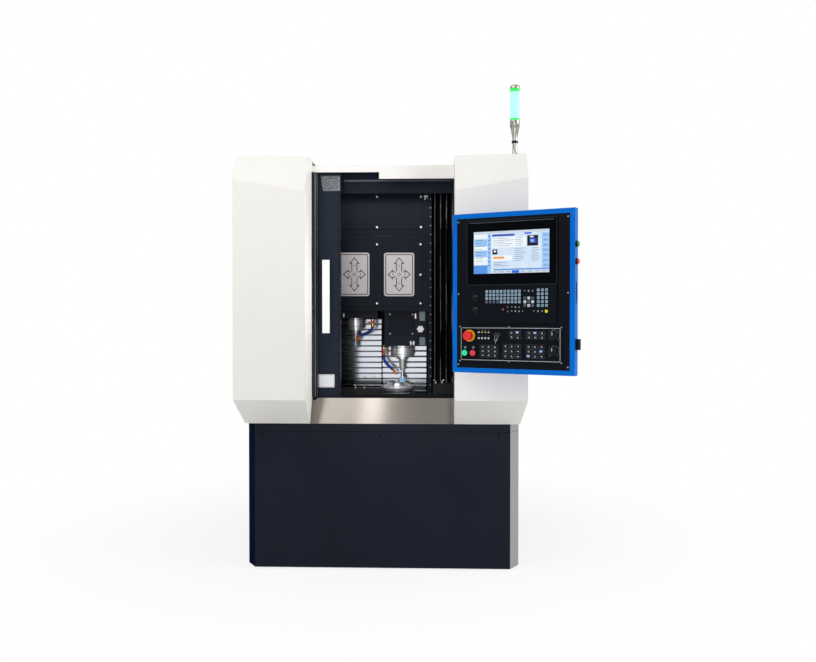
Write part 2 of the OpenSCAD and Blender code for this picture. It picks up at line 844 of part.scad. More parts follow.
// Everything on the outer side of a plane
module beyond(p, n) {
    u = n / norm(n);
    side = cross([0, 1, 0], u);
    ex = side / norm(side);
    ey = cross(u, ex);
    multmatrix([[ex[0], ey[0], u[0], p[0]], [ex[1], ey[1], u[1], p[1]], [ex[2], ey[2], u[2], p[2]],
        [0, 0, 0, 1]])
        translate([-reach, -reach, 0]) cube([2 * reach, 2 * reach, reach]);
}

module at_panel() {
    translate(panel_at) rotate([0, 0, -panel_yaw]) children();
}

// Base
module base_outline() {
    polygon([[-bx, by], [bx, by], [bx, -by + base_corner_d], [bx - base_corner_w, -by],
        [-bx + base_corner_w, -by], [-bx, -by + base_corner_d]]);
}

module core_outline() {
    polygon([[-bx, by], [bx, by], [bx, -by + corner_in_y], [bx - corner_in_x, -by + base_cover_t],
        [-bx + corner_in_x, -by + base_cover_t], [-bx, -by + corner_in_y]]);
}

module base_frame() {
    hollow_x = bx - base_wall;
    hollow_y = by - base_corner_d - base_wall;
    nose_x = bx - base_corner_w - base_wall;
    color(navy) difference() {
        union() {
            difference() {
                union() {
                    translate([0, 0, skirt_gap]) linear_extrude(seam_z - skirt_gap) core_outline();
                    translate([0, 0, seam_z]) linear_extrude(base_top - seam_z) base_outline();
                }
                box(-hollow_x, hollow_x, -hollow_y, by - base_wall, skirt_gap - over, base_top - base_deck_t);
                box(-nose_x, nose_x, -by + base_cover_t + base_wall, -hollow_y + over, skirt_gap - over,
                    base_top - base_deck_t);
            }
            for (s = [-1, 1]) {
                y = s * foot_spacing_y / 2;
                box(-hollow_x, hollow_x, y - cross_w / 2, y + cross_w / 2, cross_z, cross_z + cross_t);
            }
        }
        for (sx = [-1, 1], sy = [-1, 1]) {
            translate([sx * foot_spacing_x / 2, sy * foot_spacing_y / 2, 0])
                post(foot_stud_d + 2 * slide_gap, cross_z - over, cross_z + cross_t + over);
            translate([sx * anchor_spacing_x / 2, sy * foot_spacing_y / 2, 0])
                post(anchor_hole_d, cross_z - over, cross_z + cross_t + over);
        }
    }
}

module base_front_cover() {
    color(navy) translate([0, 0, skirt_gap]) linear_extrude(seam_z - seam_gap - skirt_gap)
        polygon([[-bx, -by + base_corner_d], [-bx + base_corner_w, -by], [bx - base_corner_w, -by],
            [bx, -by + base_corner_d], [bx, -by + corner_in_y], [bx - corner_in_x, -by + base_cover_t],
            [-bx + corner_in_x, -by + base_cover_t], [-bx, -by + corner_in_y]]);
}

module levelling_feet() {
    color(grey) for (sx = [-1, 1], sy = [-1, 1])
        translate([sx * foot_spacing_x / 2, sy * foot_spacing_y / 2, 0]) {
            post(foot_pad_d, 0, foot_pad_h);
            post(foot_stud_d, foot_pad_h, foot_pad_h + foot_stud_h);
            translate([0, 0, cross_z + cross_t]) cylinder(d = foot_nut_d, h = foot_nut_h, $fn = 6);
        }
}

// Bed and column
module machine_bed() {
    color(grey) box(-bed_x, bed_x, -bed_front, bed_back, base_top, bed_top);
}

module column() {
    back = col_front + col_d;
    color(grey) {
        difference() {
            box(-col_x, col_x, col_front, back, bed_top, col_top);
            box(-col_x + col_wall, col_x - col_wall, col_front + col_face_t, back + over, bed_top + col_wall,
                col_top - col_wall);
        }
        for (s = [-1, 1]) mirror([s < 0 ? 1 : 0, 0, 0])
            box(col_x, col_x + end_plate_t, -saddle_front, col_front + col_face_t, end_plate_bottom,
                end_plate_top);
    }
}

module x_rails() {
    color(steel) for (z = [x_rail_low, x_rail_high])
        box(-col_x + x_rail_end, col_x - x_rail_end, rail_front, col_front, z - x_rail_w / 2,
            z + x_rail_w / 2);
}

// Pod on the right, closed box with its facets; a wall given turns it into the hollow
module pod_body(wall) {
    drop = lower_crease - base_top;
    recess = pod_front - by;
    side_in = pod_out - bx;
    upper_n = [-(crease_out - crease_in) * facet_slope_share, -(pod_out - opening_half),
        (pod_out - opening_half) * facet_slope_share];
    lower_n = [0, -drop, -recess];
    side_n = [drop, 0, -side_in];
    difference() {
        box(opening_half + wall, pod_out - wall, -pod_front + wall, -pod_back + (wall > 0 ? over : 0),
            base_top + wall, pod_top - wall);
        beyond([pod_out, -pod_front, crease_out] - wall * upper_n / norm(upper_n), upper_n);
        beyond([pod_out, -pod_front, lower_crease] - wall * lower_n / norm(lower_n), lower_n);
        beyond([pod_out, -pod_front, lower_crease] - wall * side_n / norm(side_n), side_n);
    }
}

module pod_shell() {
    difference() {
        pod_body(0);
        pod_body(pod_t);
        box(opening_half - over, opening_half + pod_t + over, jamb_end, -pod_back + over, base_top + pod_t,
            pod_top - pod_t);
        box(-bed_x, bed_x + plate_gap, -bed_front - plate_gap, -pod_back + over, base_top - over,
            base_top + pod_t + over);
    }
    intersection() {
        pod_body(0);
        box(pod_out - pod_flange_w, pod_out, -pod_back - pod_t, -pod_back, base_top, pod_top);
    }
}

module left_pod() {
    color(white) mirror([1, 0, 0]) pod_shell();
}

module right_pod() {
    z = panel_at[2];
    color(white) {
        pod_shell();
        difference() {
            translate([arm_at[0], 0, z]) {
                box(-bracket_w / 2, bracket_w / 2, -pod_front - bracket_t, -pod_front + pod_t / 2,
                    -bracket_h / 2, bracket_h / 2);
                for (s = [lug_low, -lug_high]) {
                    box(-lug_w / 2, lug_w / 2, arm_at[1], -pod_front - bracket_t, s, s + lug_t);
                    translate([0, arm_at[1], 0]) post(lug_w, s, s + lug_t);
                }
            }
            translate([arm_at[0], arm_at[1], z])
                post(pin_d + 2 * shaft_gap, -lug_high - over, lug_high + over);
        }
    }
}

// Enclosure
module side_panels() {
    color(white) for (s = [0, 1]) mirror([s, 0, 0]) {
        box(bx - sheet_t, bx, -pod_back, by - sheet_t, base_top, roof_top);
        box(bx - flange_w, bx, -pod_back, -pod_back + sheet_t, base_top, roof_top - sheet_t);
        box(bx - flange_w, bx, by - 2 * sheet_t, by - sheet_t, base_top, roof_top - sheet_t);
    }
}

module rear_panel() {
    color(white) box(-bx, bx, by - sheet_t, by, base_top, roof_top);
}

module roof_panel() {
    color(white) box(-bx + sheet_t, bx - sheet_t, -pod_back, by - sheet_t, roof_top - sheet_t, roof_top);
}

module door_header() {
    inner = pod_out - pod_t;
    low = header_top - header_h;
    color(white) {
        difference() {
            box(-opening_half, opening_half, header_front, header_front + header_t, low, header_top);
            box(-opening_half - over, -opening_half + notch_l, header_front - over,
                header_front + header_t + over, low - over, low + notch_h);
        }
        box(-opening_half, opening_half, header_front, jamb_end, header_top - header_t, header_top);
        box(-inner, inner, jamb_end, -beam_back, header_top - header_t, header_top);
        box(-inner, inner, -beam_back - beam_t, -beam_back, beam_bottom, header_top);
        for (front = [lead_front, trail_front]) {
            y = -front + leaf_t / 2;
            box(-inner, inner, y - guide_w / 2, y + guide_w / 2, header_top - header_t - guide_h,
                header_top - header_t);
        }
    }
}

module sill() {
    run = header_front;
    color(steel) {
        along_x(-opening_half, opening_half, [[-by, base_top], [run, sill_top], [-sill_back, sill_top],
            [-sill_back, base_top], [-sill_back - sill_t, base_top], [-sill_back - sill_t, sill_top - sill_t],
            [run + sill_t / 2, sill_top - sill_t], [-by + 2 * sill_t, base_top]]);
        for (front = [lead_front, trail_front]) {
            y = -front + leaf_t / 2;
            box(-opening_half, opening_half, y - guide_w / 2, y + guide_w / 2, sill_top, sill_top + guide_h);
        }
    }
}

// Door
module leaf(x0, x1, front) {
    y = -front + leaf_t / 2;
    half = guide_w / 2 + guide_gap;
    difference() {
        box(x0, x1, -front, -front + leaf_t, leaf_bottom, leaf_top);
        box(x0 - over, x1 + over, y - half, y + half, leaf_bottom - over, sill_top + guide_h + guide_gap);
        box(x0 - over, x1 + over, y - half, y + half, header_top - header_t - guide_h - guide_gap,
            leaf_top + over);
    }
}

module door_leaf() {
    z0 = window_bottom;
    z1 = window_bottom + window_h;
    x1 = window_l + window_w;
    back = -lead_front + leaf_t;
    color(navy) difference() {
        leaf(lead_edge - lead_w, lead_edge, lead_front);
        box(window_l, x1, -lead_front - over, back + over, z0, z1);
        box(window_l - pane_lap - plate_gap, x1 + pane_lap + plate_gap, back - pane_t, back + over,
            z0 - pane_lap - plate_gap, z1 + pane_lap + plate_gap);
    }
}

module door_window() {
    back = -lead_front + leaf_t;
    color(glass) box(window_l - pane_lap, window_l + window_w + pane_lap, back - pane_t, back,
        window_bottom - pane_lap, window_bottom + window_h + pane_lap);
}

module door_handle() {
    far = -lead_front - handle_reach;
    color(white) {
        box(handle_x - handle_w / 2, handle_x + handle_w / 2, far - handle_t, far, handle_bottom,
            handle_bottom + handle_l);
        for (z = [handle_bottom + handle_post_inset, handle_bottom + handle_l - handle_post_inset])
            translate([handle_x, 0, z]) bar_y(handle_post_d, far, -lead_front);
    }
}

module trailing_leaf() {
    color(navy) leaf(trail_edge - trail_w, trail_edge, trail_front);
}

// Saddle
module x_carriage(x, z) {
    half = x_rail_w / 2 + carriage_rim;
    gap = x_rail_w / 2 + slide_gap;
    difference() {
        box(x - carriage_l / 2, x + carriage_l / 2, saddle_back, col_front - carriage_lift, z - half,
            z + half);
        box(x - carriage_l, x + carriage_l, rail_front - slide_gap, col_front, z - gap, z + gap);
    }
}

module saddle() {
    arm = saddle_w / 2 - carriage_l / 2;
    color(grey) {
        box(saddle_l, saddle_r, saddle_face, saddle_back, saddle_bottom, saddle_top);
        for (x = [saddle_l, saddle_r - strip_w])
            box(x, x + strip_w, -saddle_front, saddle_face, saddle_bottom, saddle_top);
        box(saddle_l + strip_w, saddle_r - strip_w, -saddle_front + upper_cover_back + cover_t, saddle_face,
            saddle_top - strip_w, saddle_top);
        for (x = [saddle_x - arm, saddle_x + arm], z = [x_rail_low, x_rail_high]) x_carriage(x, z);
    }
}

module upper_cover() {
    y = -saddle_front + upper_cover_back;
    color(dark) box(saddle_l + strip_w, saddle_r - strip_w, y, y + cover_t, upper_cover_bottom, saddle_top);
}

module head_cover() {
    color(dark) box(saddle_l + strip_w, saddle_r - strip_w, -saddle_front, -saddle_front + cover_t,
        head_cover_bottom, head_cover_top);
}

module z_rails() {
    color(steel) for (c = [left_head_x, right_head_x], s = [-1, 1]) {
        x = c + s * z_rail_span / 2;
        box(x - z_rail_w / 2, x + z_rail_w / 2, z_rail_front, saddle_face, saddle_bottom + z_rail_end,
            saddle_top - strip_w - z_rail_end);
    }
}

// Overlapping slats from under a head down to the saddle's foot
module slat_cover(x0, x1, top) {
    z1 = top - slide_gap;
    count = floor((z1 - saddle_bottom) / slat_pitch);
    pitch = (z1 - saddle_bottom) / count;
    lip = slat_back - slat_t;
    front = [for (i = [0:count - 1], k = [0, 1])
        [k == 0 ? lip - slat_step : lip, saddle_bottom + (i + k) * pitch]];
    color(steel) along_x(x0, x1, concat([[slat_back, saddle_bottom]], front, [[slat_back, z1]]));
}

module left_slat_cover() {
    slat_cover(left_slats_start, left_slats_end, left_head_bottom);
}

module right_slat_cover() {
    slat_cover(right_slats_start, right_slats_end, right_head_bottom);
}

// Heads
module z_carriage(x, z) {
    half = z_rail_w / 2 + carriage_rim;
    gap = z_rail_w / 2 + slide_gap;
    difference() {
        box(x - half, x + half, head_back, saddle_face - carriage_lift, z, z + carriage_l);
        box(x - gap, x + gap, z_rail_front - slide_gap, saddle_face, z - over, z + carriage_l + over);
    }
}

module head_block(x, w, bottom, spindle_x, barrel, barrel_top) {
    difference() {
        box(x - w / 2, x + w / 2, -head_front, head_back, bottom, head_top);
        translate([spindle_x, -work_y, 0]) post(barrel + 2 * slide_gap, bottom - over, barrel_top + over);
    }
    for (s = [-1, 1], down = [carriage_low, carriage_high])
        z_carriage(x + s * z_rail_span / 2, head_top - down - carriage_l);
}

module left_head() {
    color(dark) head_block(left_head_x, left_head_w, left_head_bottom, left_spindle_x, left_barrel_d,
        left_barrel_top);
}

module right_head() {
    color(dark) {
        head_block(right_head_x, right_head_w, right_head_bottom, right_spindle_x, right_barrel_d,
            right_barrel_top);
        difference() {
            translate([knob_x, 0, knob_z])
                box(-knob_plate_w / 2, knob_plate_w / 2, -head_front - knob_plate_t, -head_front,
                    -knob_plate_h / 2, knob_plate_h / 2);
            translate([knob_x, 0, knob_z])
                bar_y(clamp_screw_d + 2 * shaft_gap, -head_front - knob_plate_t - over, -head_front);
        }
    }
}

module spindle_housing(x, nose_d, nose_z, seat, barrel, barrel_top, shaft) {
    translate([x, -work_y, 0]) difference() {
        union() {
            post(nose_d, nose_z, seat);
            post(barrel, seat, barrel_top);
        }
        post(shaft + 2 * shaft_gap, nose_z - over, barrel_top - shaft_short);
    }
}

module left_spindle_housing() {
    color(steel) spindle_housing(left_spindle_x, left_nose_d, left_nose_z, left_head_bottom, left_barrel_d,
        left_barrel_top, left_shaft_d);
}

module right_spindle_housing() {
    color(steel) spindle_housing(right_spindle_x, right_nose_d, right_nose_z, right_head_bottom,
        right_barrel_d, right_barrel_top, right_shaft_d);
}

module quill(x, nose_z, barrel_top, shaft, collar, collar_h, cone, tip, arbor, wheel_top, wheel_h, wheel_d) {
    collar_top = nose_z - slide_gap;
    cone_top = collar_top - collar_h;
    translate([x, -work_y, 0]) {
        post(shaft, collar_top, barrel_top - 2 * shaft_short);
        post(collar, cone_top, collar_top);
        translate([0, 0, tip]) cylinder(d1 = cone[1], d2 = cone[0], h = cone_top - tip);
        post(arbor, wheel_top - wheel_h, tip);
        post(wheel_d * shoulder_share, wheel_top, wheel_top + shoulder_h);
    }
}

module left_quill() {
    color(grey) quill(left_spindle_x, left_nose_z, left_barrel_top, left_shaft_d, left_collar_d,
        left_collar_h, left_cone_d, left_cone_tip, left_arbor_d, left_wheel_top, left_wheel_h, left_wheel_d);
}

module right_quill() {
    color(grey) quill(right_spindle_x, right_nose_z, right_barrel_top, right_shaft_d, right_collar_d,
        right_collar_h, right_cone_d, right_cone_tip, right_arbor_d, right_wheel_top, right_wheel_h,
        right_wheel_d);
}

module wheel(x, d, bore, top, h) {
    color(wheel_blue) translate([x, -work_y, 0]) difference() {
        post(d, top - h, top);
        post(bore + 2 * shaft_gap, top - h - over, top + over);
    }
}

module left_wheel() {
    wheel(left_spindle_x, left_wheel_d, left_arbor_d, left_wheel_top, left_wheel_h);
}

module right_wheel() {
    wheel(right_spindle_x, right_wheel_d, right_arbor_d, right_wheel_top, right_wheel_h);
}

// Coolant
module valve(x, seat, shift) {
    low = seat - valve_plate_t - valve_h;
    mid = low + valve_h / 2;
    color(brass) translate([x, -valve_y, 0]) difference() {
        union() {
            box(shift - valve_plate_w / 2, shift + valve_plate_w / 2, -valve_plate_d / 2, valve_plate_d / 2,
                seat - valve_plate_t, seat);
            post(valve_d, low, seat - valve_plate_t);
            translate([0, 0, mid]) bar_y(bonnet_d, -bonnet_l, 0);
        }
        translate([0, 0, mid]) bar_y(lever_stem_d + 2 * shaft_gap, -bonnet_l - over, -shaft_gap);
    }
}

module left_coolant_valve() {
    valve(left_valve_x, left_head_bottom, 0);
}

module right_coolant_valve() {
    valve(right_valve_x, right_head_bottom, valve_plate_shift);
}

module lever(x, seat, turn) {
    face = -bonnet_l - slide_gap;
    color(red) translate([x, -valve_y, seat - valve_plate_t - valve_h / 2]) rotate([0, turn, 0]) {
        bar_y(lever_stem_d, face, -slide_gap);
        bar_y(lever_hub_d, face - lever_t, face);
        box(-lever_w / 2, lever_w / 2, face - lever_t, face, -lever_l, 0);
    }
}

module left_valve_lever() {
    lever(left_valve_x, left_head_bottom, lever_turn[0]);
}

module right_valve_lever() {
    lever(right_valve_x, right_head_bottom, lever_turn[1]);
}

// Round rod from one point to another, with what its end carries
module rod(p, q, d1, d2) {
    v = q - p;
    translate(p) rotate([0, acos(v[2] / norm(v)), atan2(v[1], v[0])]) {
        cylinder(d1 = d1, d2 = d2, h = norm(v));
        translate([0, 0, norm(v)]) children();
    }
}

module hose(x, seat, path, tip) {
    last = path[len(path) - 1];
    color(blue) translate([x, -valve_y, seat - valve_plate_t - valve_h]) {
        post(hose_ring_d, -hose_ring_h, 0);
        for (i = [1:len(path) - 1]) {
            rod(path[i - 1], path[i], hose_d, hose_d) sphere(d = hose_ball_d);
        }
        rod(last, tip, hose_d, nozzle_tip_d);
    }
}

module left_coolant_hose() {
    hose(left_valve_x, left_head_bottom, left_hose_path, left_nozzle_tip);
}

module right_coolant_hose() {
    hose(right_valve_x, right_head_bottom, right_hose_path, right_nozzle_tip);
}

module clamp_knob() {
    face = -head_front - knob_plate_t - slide_gap;
    color(white) translate([knob_x, 0, knob_z]) {
        bar_y(clamp_screw_d, face, -head_front - slide_gap);
        bar_y(clamp_knob_d - lobe_d / 2, face - clamp_knob_t, face);
        for (i = [1:lobe_count]) rotate([0, i * 360 / lobe_count, 0])
            translate([(clamp_knob_d - lobe_d) / 2, 0, 0]) bar_y(lobe_d, face - clamp_knob_t, face);
    }
}

// Work spindle
module workhead_housing() {
    color(grey) translate([work_x, -work_y, 0]) difference() {
        union() {
            box(-workhead_w / 2, workhead_w / 2, -workhead_w / 2, workhead_w / 2, bed_top,
                bed_top + workhead_foot_h);
            post(workhead_d, bed_top, chuck_bottom - slide_gap);
        }
        post(work_shaft_d + 2 * shaft_gap, bed_top - over, chuck_bottom);
    }
}

module chuck_body() {
    step = chuck_bottom + chuck_low_h;
    slot = jaw_w / 2 + slide_gap;
    color(steel) translate([work_x, -work_y, 0]) difference() {
        union() {
            post(work_shaft_d, bed_top + slide_gap, chuck_bottom);
            post(chuck_low_d, chuck_bottom, step);
            translate([0, 0, step]) cylinder(d1 = chuck_d - 2 * chuck_rim, d2 = chuck_d, h = chuck_rim);
            post(chuck_d, step + chuck_rim, chuck_face);
        }
        for (a = jaw_angles) rotate([0, 0, a])
            box(jaw_slot_r, chuck_d, -slot, slot, chuck_face - jaw_slot_d, chuck_face + over);
    }
}

module jaw(a) {
    color(grey) translate([work_x, -work_y, chuck_face]) rotate([0, 0, a]) {
        box(jaw_in_r, jaw_out_r, -jaw_w / 2, jaw_w / 2, -jaw_slot_d + slide_gap, jaw_base_h);
        box(jaw_in_r, jaw_step_r, -jaw_w / 2, jaw_w / 2, jaw_base_h, jaw_h);
    }
}

module jaw_a() {
    jaw(jaw_angles[0]);
}

module jaw_b() {
    jaw(jaw_angles[1]);
}

module jaw_c() {
    jaw(jaw_angles[2]);
}

module bed_cover(x0, x1, top) {
    front = -bed_front + cover_t;
    back = -bed_cover_back;
    slope = (back - front) * bed_slope_share;
    difference() {
        along_x(x0, x1, [[front, bed_top], [front, bed_lip], [front + slope, top], [back, top],
            [back, bed_top]]);
        along_x(x0 + cover_t, x1 - cover_t, [[front + cover_t, bed_top - over],
            [front + cover_t, bed_lip - cover_t], [front + slope, top - 2 * cover_t],
            [back - cover_t, top - 2 * cover_t],
            [back - cover_t, bed_top - over]]);
    }
}

module bed_covers() {
    color(black) {
        bed_cover(-bed_x + left_bed_inset, work_x - left_bed_gap, bed_top + left_bed_h);
        bed_cover(work_x + right_bed_gap, bed_x - right_bed_inset, bed_top + right_bed_h);
    }
}

// Folded cloth between two places along X
module bellows(x0, x1, folds) {
    step = (x1 - x0) / folds / 2;
    deep = -bellows_front + fold_d;
    outer = [for (i = [0:2 * folds]) [x0 + i * step, i % 2 == 0 ? deep : -bellows_front]];
    inner = [for (i = [2 * folds:-1:0]) [x0 + i * step, (i % 2 == 0 ? deep : -bellows_front) + bellows_t]];
    translate([0, 0, end_plate_bottom]) linear_extrude(end_plate_top - end_plate_bottom)
        polygon(concat(outer, inner));
}

module x_bellows() {
    color(black) {
        bellows(-col_x + bellows_gap, saddle_l - bellows_gap, left_folds);
        bellows(saddle_r + bellows_gap, col_x - bellows_gap, right_folds);
    }
}

// Tower light
module tower_light_post() {
    cap = lens_base + light_lens_h;
    color(steel) translate([light_x, -light_y, 0]) {
        post(light_foot_d, pod_top, pod_top + light_foot_h);
        post(light_tube_d, pod_top + light_foot_h, light_base);
        translate([0, 0, light_base]) cylinder(d1 = light_tube_d, d2 = light_lens_d, h = light_taper_h);
    }
    color(steel) translate([light_x, -light_y, 0]) {
        post(light_tube_d, lens_base, cap);
        post(light_lens_d, cap, cap + light_cap_h);
    }
}

module tower_light_lens() {
    color(green) translate([light_x, -light_y, 0]) difference() {
        post(light_lens_d, lens_base, lens_base + light_lens_h);
        post(light_tube_d, lens_base - over, lens_base + light_lens_h + over);
    }
}

// Control panel
module panel_arm() {
    color(dark) translate([arm_at[0], arm_at[1], panel_at[2]]) rotate([0, 0, arm_angle]) {
        box(0, arm_l, -arm_w / 2, arm_w / 2, -arm_h / 2, arm_h / 2);
        for (x = [0, arm_l]) translate([x, 0, 0]) {
            post(hub_d, -hub_top, hub_top);
            post(pin_d, -lug_high - pin_head, lug_high + pin_head);
        }
    }
}

module panel_housing() {
    inner_x = rim_x - panel_t;
    inner_z = rim_z - panel_t;
    open_x = plate_w / 2 - plate_ledge;
    open_z = plate_h / 2 - plate_ledge;
    side_y = panel_rim_d / 2;
    color(blue) at_panel() difference() {
        union() {
            box(-rim_x, rim_x, 0, panel_rim_d, -rim_z, rim_z);
            box(-box_x, box_x, panel_rim_d, panel_d, -box_z, box_z);
            for (s = [lug_low, -lug_high]) {
                box(-lug_w / 2, lug_w / 2, panel_d, pivot_back, s, s + lug_t);
                translate([0, pivot_back, 0]) post(lug_w, s, s + lug_t);
            }
            for (z = side_button_z)
                translate([0, side_y, z]) bar_x(side_collar_d, rim_x, rim_x + side_collar_h);
            box(rim_x, rim_x + port_d, side_y - port_w / 2, side_y + port_w / 2, port_z[0], port_z[1]);
        }
        box(-plate_w / 2 - plate_gap, plate_w / 2 + plate_gap, -over, plate_t, -plate_h / 2 - plate_gap,
            plate_h / 2 + plate_gap);
        box(-open_x, open_x, 0, plate_t + panel_t + over, -open_z, open_z);
        box(-inner_x, inner_x, plate_t + panel_t, panel_rim_d - panel_t, -inner_z, inner_z);
        box(-box_x + panel_t, box_x - panel_t, panel_rim_d - panel_t - over, panel_d - panel_t,
            -box_z + panel_t, box_z - panel_t);
        translate([0, pivot_back, 0]) post(pin_d + 2 * shaft_gap, -lug_high - over, lug_high + over);
        for (z = side_button_z) translate([0, side_y, z]) {
            bar_x(side_cap_d + 2 * slide_gap, rim_x, rim_x + side_collar_h + over);
            bar_x(button_stem_d + 2 * slide_gap, inner_x - over, rim_x + over);
        }
        box(inner_x - over, rim_x + over, side_y - side_slot_w / 2, side_y + side_slot_w / 2, side_slot_z[0],
            side_slot_z[1]);
    }
}

// Round hole along the panel's depth
module panel_hole(at, d, y0, y1) {
    translate([at[0], 0, at[1]]) bar_y(d, y0, y1);
}

module panel_plate() {
    color(black) at_panel() difference() {
        box(-plate_w / 2, plate_w / 2, 0, plate_t, -plate_h / 2, plate_h / 2);
        panel_hole(estop_at, estop_stem_d + 2 * stem_room, -over, plate_t + over);
        for (at = [start_at, stop_at]) panel_hole(at, button_stem_d + 2 * stem_room, -over, plate_t + over);
        panel_hole(key_at, barrel_d + 2 * stem_room, -over, plate_t + over);
        for (at = [feed_at, speed_at]) panel_hole(at, dial_shaft_d + 2 * stem_room, -over, plate_t + over);
    }
}

module controller_bezel() {
    color(black) at_panel() difference() {
        translate([bezel_at[0], 0, bezel_at[1]])
            box(-bezel_w / 2, bezel_w / 2, -bezel_t, 0, -bezel_h / 2, bezel_h / 2);
        translate([screen_at[0], 0, screen_at[1]])
            box(-screen_w / 2, screen_w / 2, -bezel_t - over, -bezel_t + screen_d, -screen_h / 2,
                screen_h / 2);
    }
}

module machine_control_plate() {
    ring_d = button_d + 2 * slide_gap + 2 * ring_rim;
    color(black) at_panel() difference() {
        union() {
            translate([control_at[0], 0, control_at[1]])
                box(-control_w / 2, control_w / 2, control_face, 0, -control_h / 2, control_h / 2);
            for (f = key_fields) box(f[0], f[1], control_face - key_h, control_face, f[2], f[3]);
            panel_hole(estop_at, estop_collar_d, control_face - estop_collar_h, control_face);
            for (at = [start_at, stop_at]) panel_hole(at, ring_d, control_face - ring_h, control_face);
        }
        panel_hole(estop_at, estop_stem_d + 2 * slide_gap, control_face - estop_collar_h - over, over);
        for (at = [start_at, stop_at]) {
            panel_hole(at, button_d + 2 * slide_gap, control_face - ring_h - over, control_face);
            panel_hole(at, button_stem_d + 2 * slide_gap, control_face - over, over);
        }
        panel_hole(key_at, barrel_d + 2 * shaft_gap, control_face - over, over);
        for (at = [feed_at, speed_at])
            panel_hole(at, dial_shaft_d + 2 * shaft_gap, control_face - over, over);
    }
}

module estop_head() {
    face = control_face - estop_collar_h - estop_travel - slide_gap;
    color(red) at_panel() translate([estop_at[0], 0, estop_at[1]]) {
        bar_y(estop_d, face - estop_t, face);
        bar_y(estop_stem_d, face, control_face + stem_reach);
    }
}

module push_button(at, tint) {
    face = control_face - button_travel - slide_gap;
    color(tint) at_panel() translate([at[0], 0, at[1]]) {
        bar_y(button_d, face - button_t, face);
        bar_y(button_stem_d, face, control_face + stem_reach);
    }
}

module start_button() {
    push_button(start_at, green);
}

module stop_button() {
    push_button(stop_at, red);
}

module key_switch() {
    face = control_face - slide_gap;
    color(steel) at_panel() translate([key_at[0], 0, key_at[1]]) {
        bar_y(rotor_d, face - rotor_t, face);
        bar_y(barrel_d, face, control_face + stem_reach);
        box(-key_t / 2, key_t / 2, face - rotor_t - key_l, face - rotor_t, -key_w / 2, key_w / 2);
    }
}

module dial(at) {
    face = control_face - slide_gap;
    color(dark) at_panel() translate([at[0], 0, at[1]]) {
        bar_y(dial_d, face - dial_t, face);
        bar_y(dial_shaft_d, face, control_face + stem_reach);
        box(-dial_rib_w / 2, dial_rib_w / 2, face - dial_t - dial_rib_h, face - dial_t,
            -dial_d * dial_rib_shares[1], dial_d * dial_rib_shares[0]);
    }
}

module feed_knob() {
    dial(feed_at);
}

module speed_knob() {
    dial(speed_at);
}

module side_button(z, tint) {
    low = rim_x + button_travel + slide_gap;
    color(tint) at_panel() translate([0, panel_rim_d / 2, z]) {
        bar_x(side_cap_d, low, low + side_cap_t);
        bar_x(button_stem_d, rim_x - stem_reach, low);
    }
}

module side_start_button() {
    side_button(side_button_z[0], green);
}

module side_stop_button() {
    side_button(side_button_z[1], red);
}

base_frame();
base_front_cover();
levelling_feet();
machine_bed();
column();
x_rails();
left_pod();
right_pod();
side_panels();
rear_panel();
roof_panel();
door_header();
sill();
workhead_housing();
bed_covers();
x_bellows();
tower_light_post();
tower_light_lens();
door_leaf();
door_window();
door_handle();
trailing_leaf();
saddle();
upper_cover();
head_cover();
z_rails();
left_slat_cover();
right_slat_cover();
left_head();
left_spindle_housing();
left_coolant_valve();
left_coolant_hose();
left_valve_lever();
left_quill();
left_wheel();
right_head();
right_spindle_housing();
right_coolant_valve();
right_coolant_hose();
right_valve_lever();
right_quill();
right_wheel();
clamp_knob();
chuck_body();
jaw_a();
jaw_b();
jaw_c();
panel_arm();
panel_housing();
panel_plate();
controller_bezel();
machine_control_plate();
estop_head();
start_button();
stop_button();
key_switch();
feed_knob();
speed_knob();
side_start_button();
side_stop_button();
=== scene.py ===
import json
import math
import bpy
import bmesh
from mathutils import Matrix, Vector

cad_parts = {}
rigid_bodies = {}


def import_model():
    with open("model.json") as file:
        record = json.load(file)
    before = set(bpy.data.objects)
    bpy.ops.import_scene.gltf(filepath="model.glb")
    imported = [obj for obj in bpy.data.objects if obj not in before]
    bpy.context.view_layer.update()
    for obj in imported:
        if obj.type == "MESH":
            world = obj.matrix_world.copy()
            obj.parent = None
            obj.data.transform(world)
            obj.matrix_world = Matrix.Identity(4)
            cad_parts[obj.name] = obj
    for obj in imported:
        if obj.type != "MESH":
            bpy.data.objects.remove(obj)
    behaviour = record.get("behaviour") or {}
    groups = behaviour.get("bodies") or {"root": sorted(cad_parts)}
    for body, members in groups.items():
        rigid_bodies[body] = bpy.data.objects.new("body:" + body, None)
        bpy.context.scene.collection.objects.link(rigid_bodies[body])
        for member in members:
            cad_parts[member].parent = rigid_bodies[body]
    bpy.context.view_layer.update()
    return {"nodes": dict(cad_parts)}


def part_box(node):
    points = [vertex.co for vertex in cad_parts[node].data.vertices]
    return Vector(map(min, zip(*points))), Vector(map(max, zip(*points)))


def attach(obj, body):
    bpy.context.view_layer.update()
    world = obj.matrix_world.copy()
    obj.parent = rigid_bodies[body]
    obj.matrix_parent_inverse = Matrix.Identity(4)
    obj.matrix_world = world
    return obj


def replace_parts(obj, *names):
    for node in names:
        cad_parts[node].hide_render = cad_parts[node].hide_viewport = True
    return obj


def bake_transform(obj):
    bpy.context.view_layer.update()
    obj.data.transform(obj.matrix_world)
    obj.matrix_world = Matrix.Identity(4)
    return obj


for leftover in list(bpy.data.objects):
    bpy.data.objects.remove(leftover)

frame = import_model()
nodes = frame["nodes"]
scene = bpy.context.scene

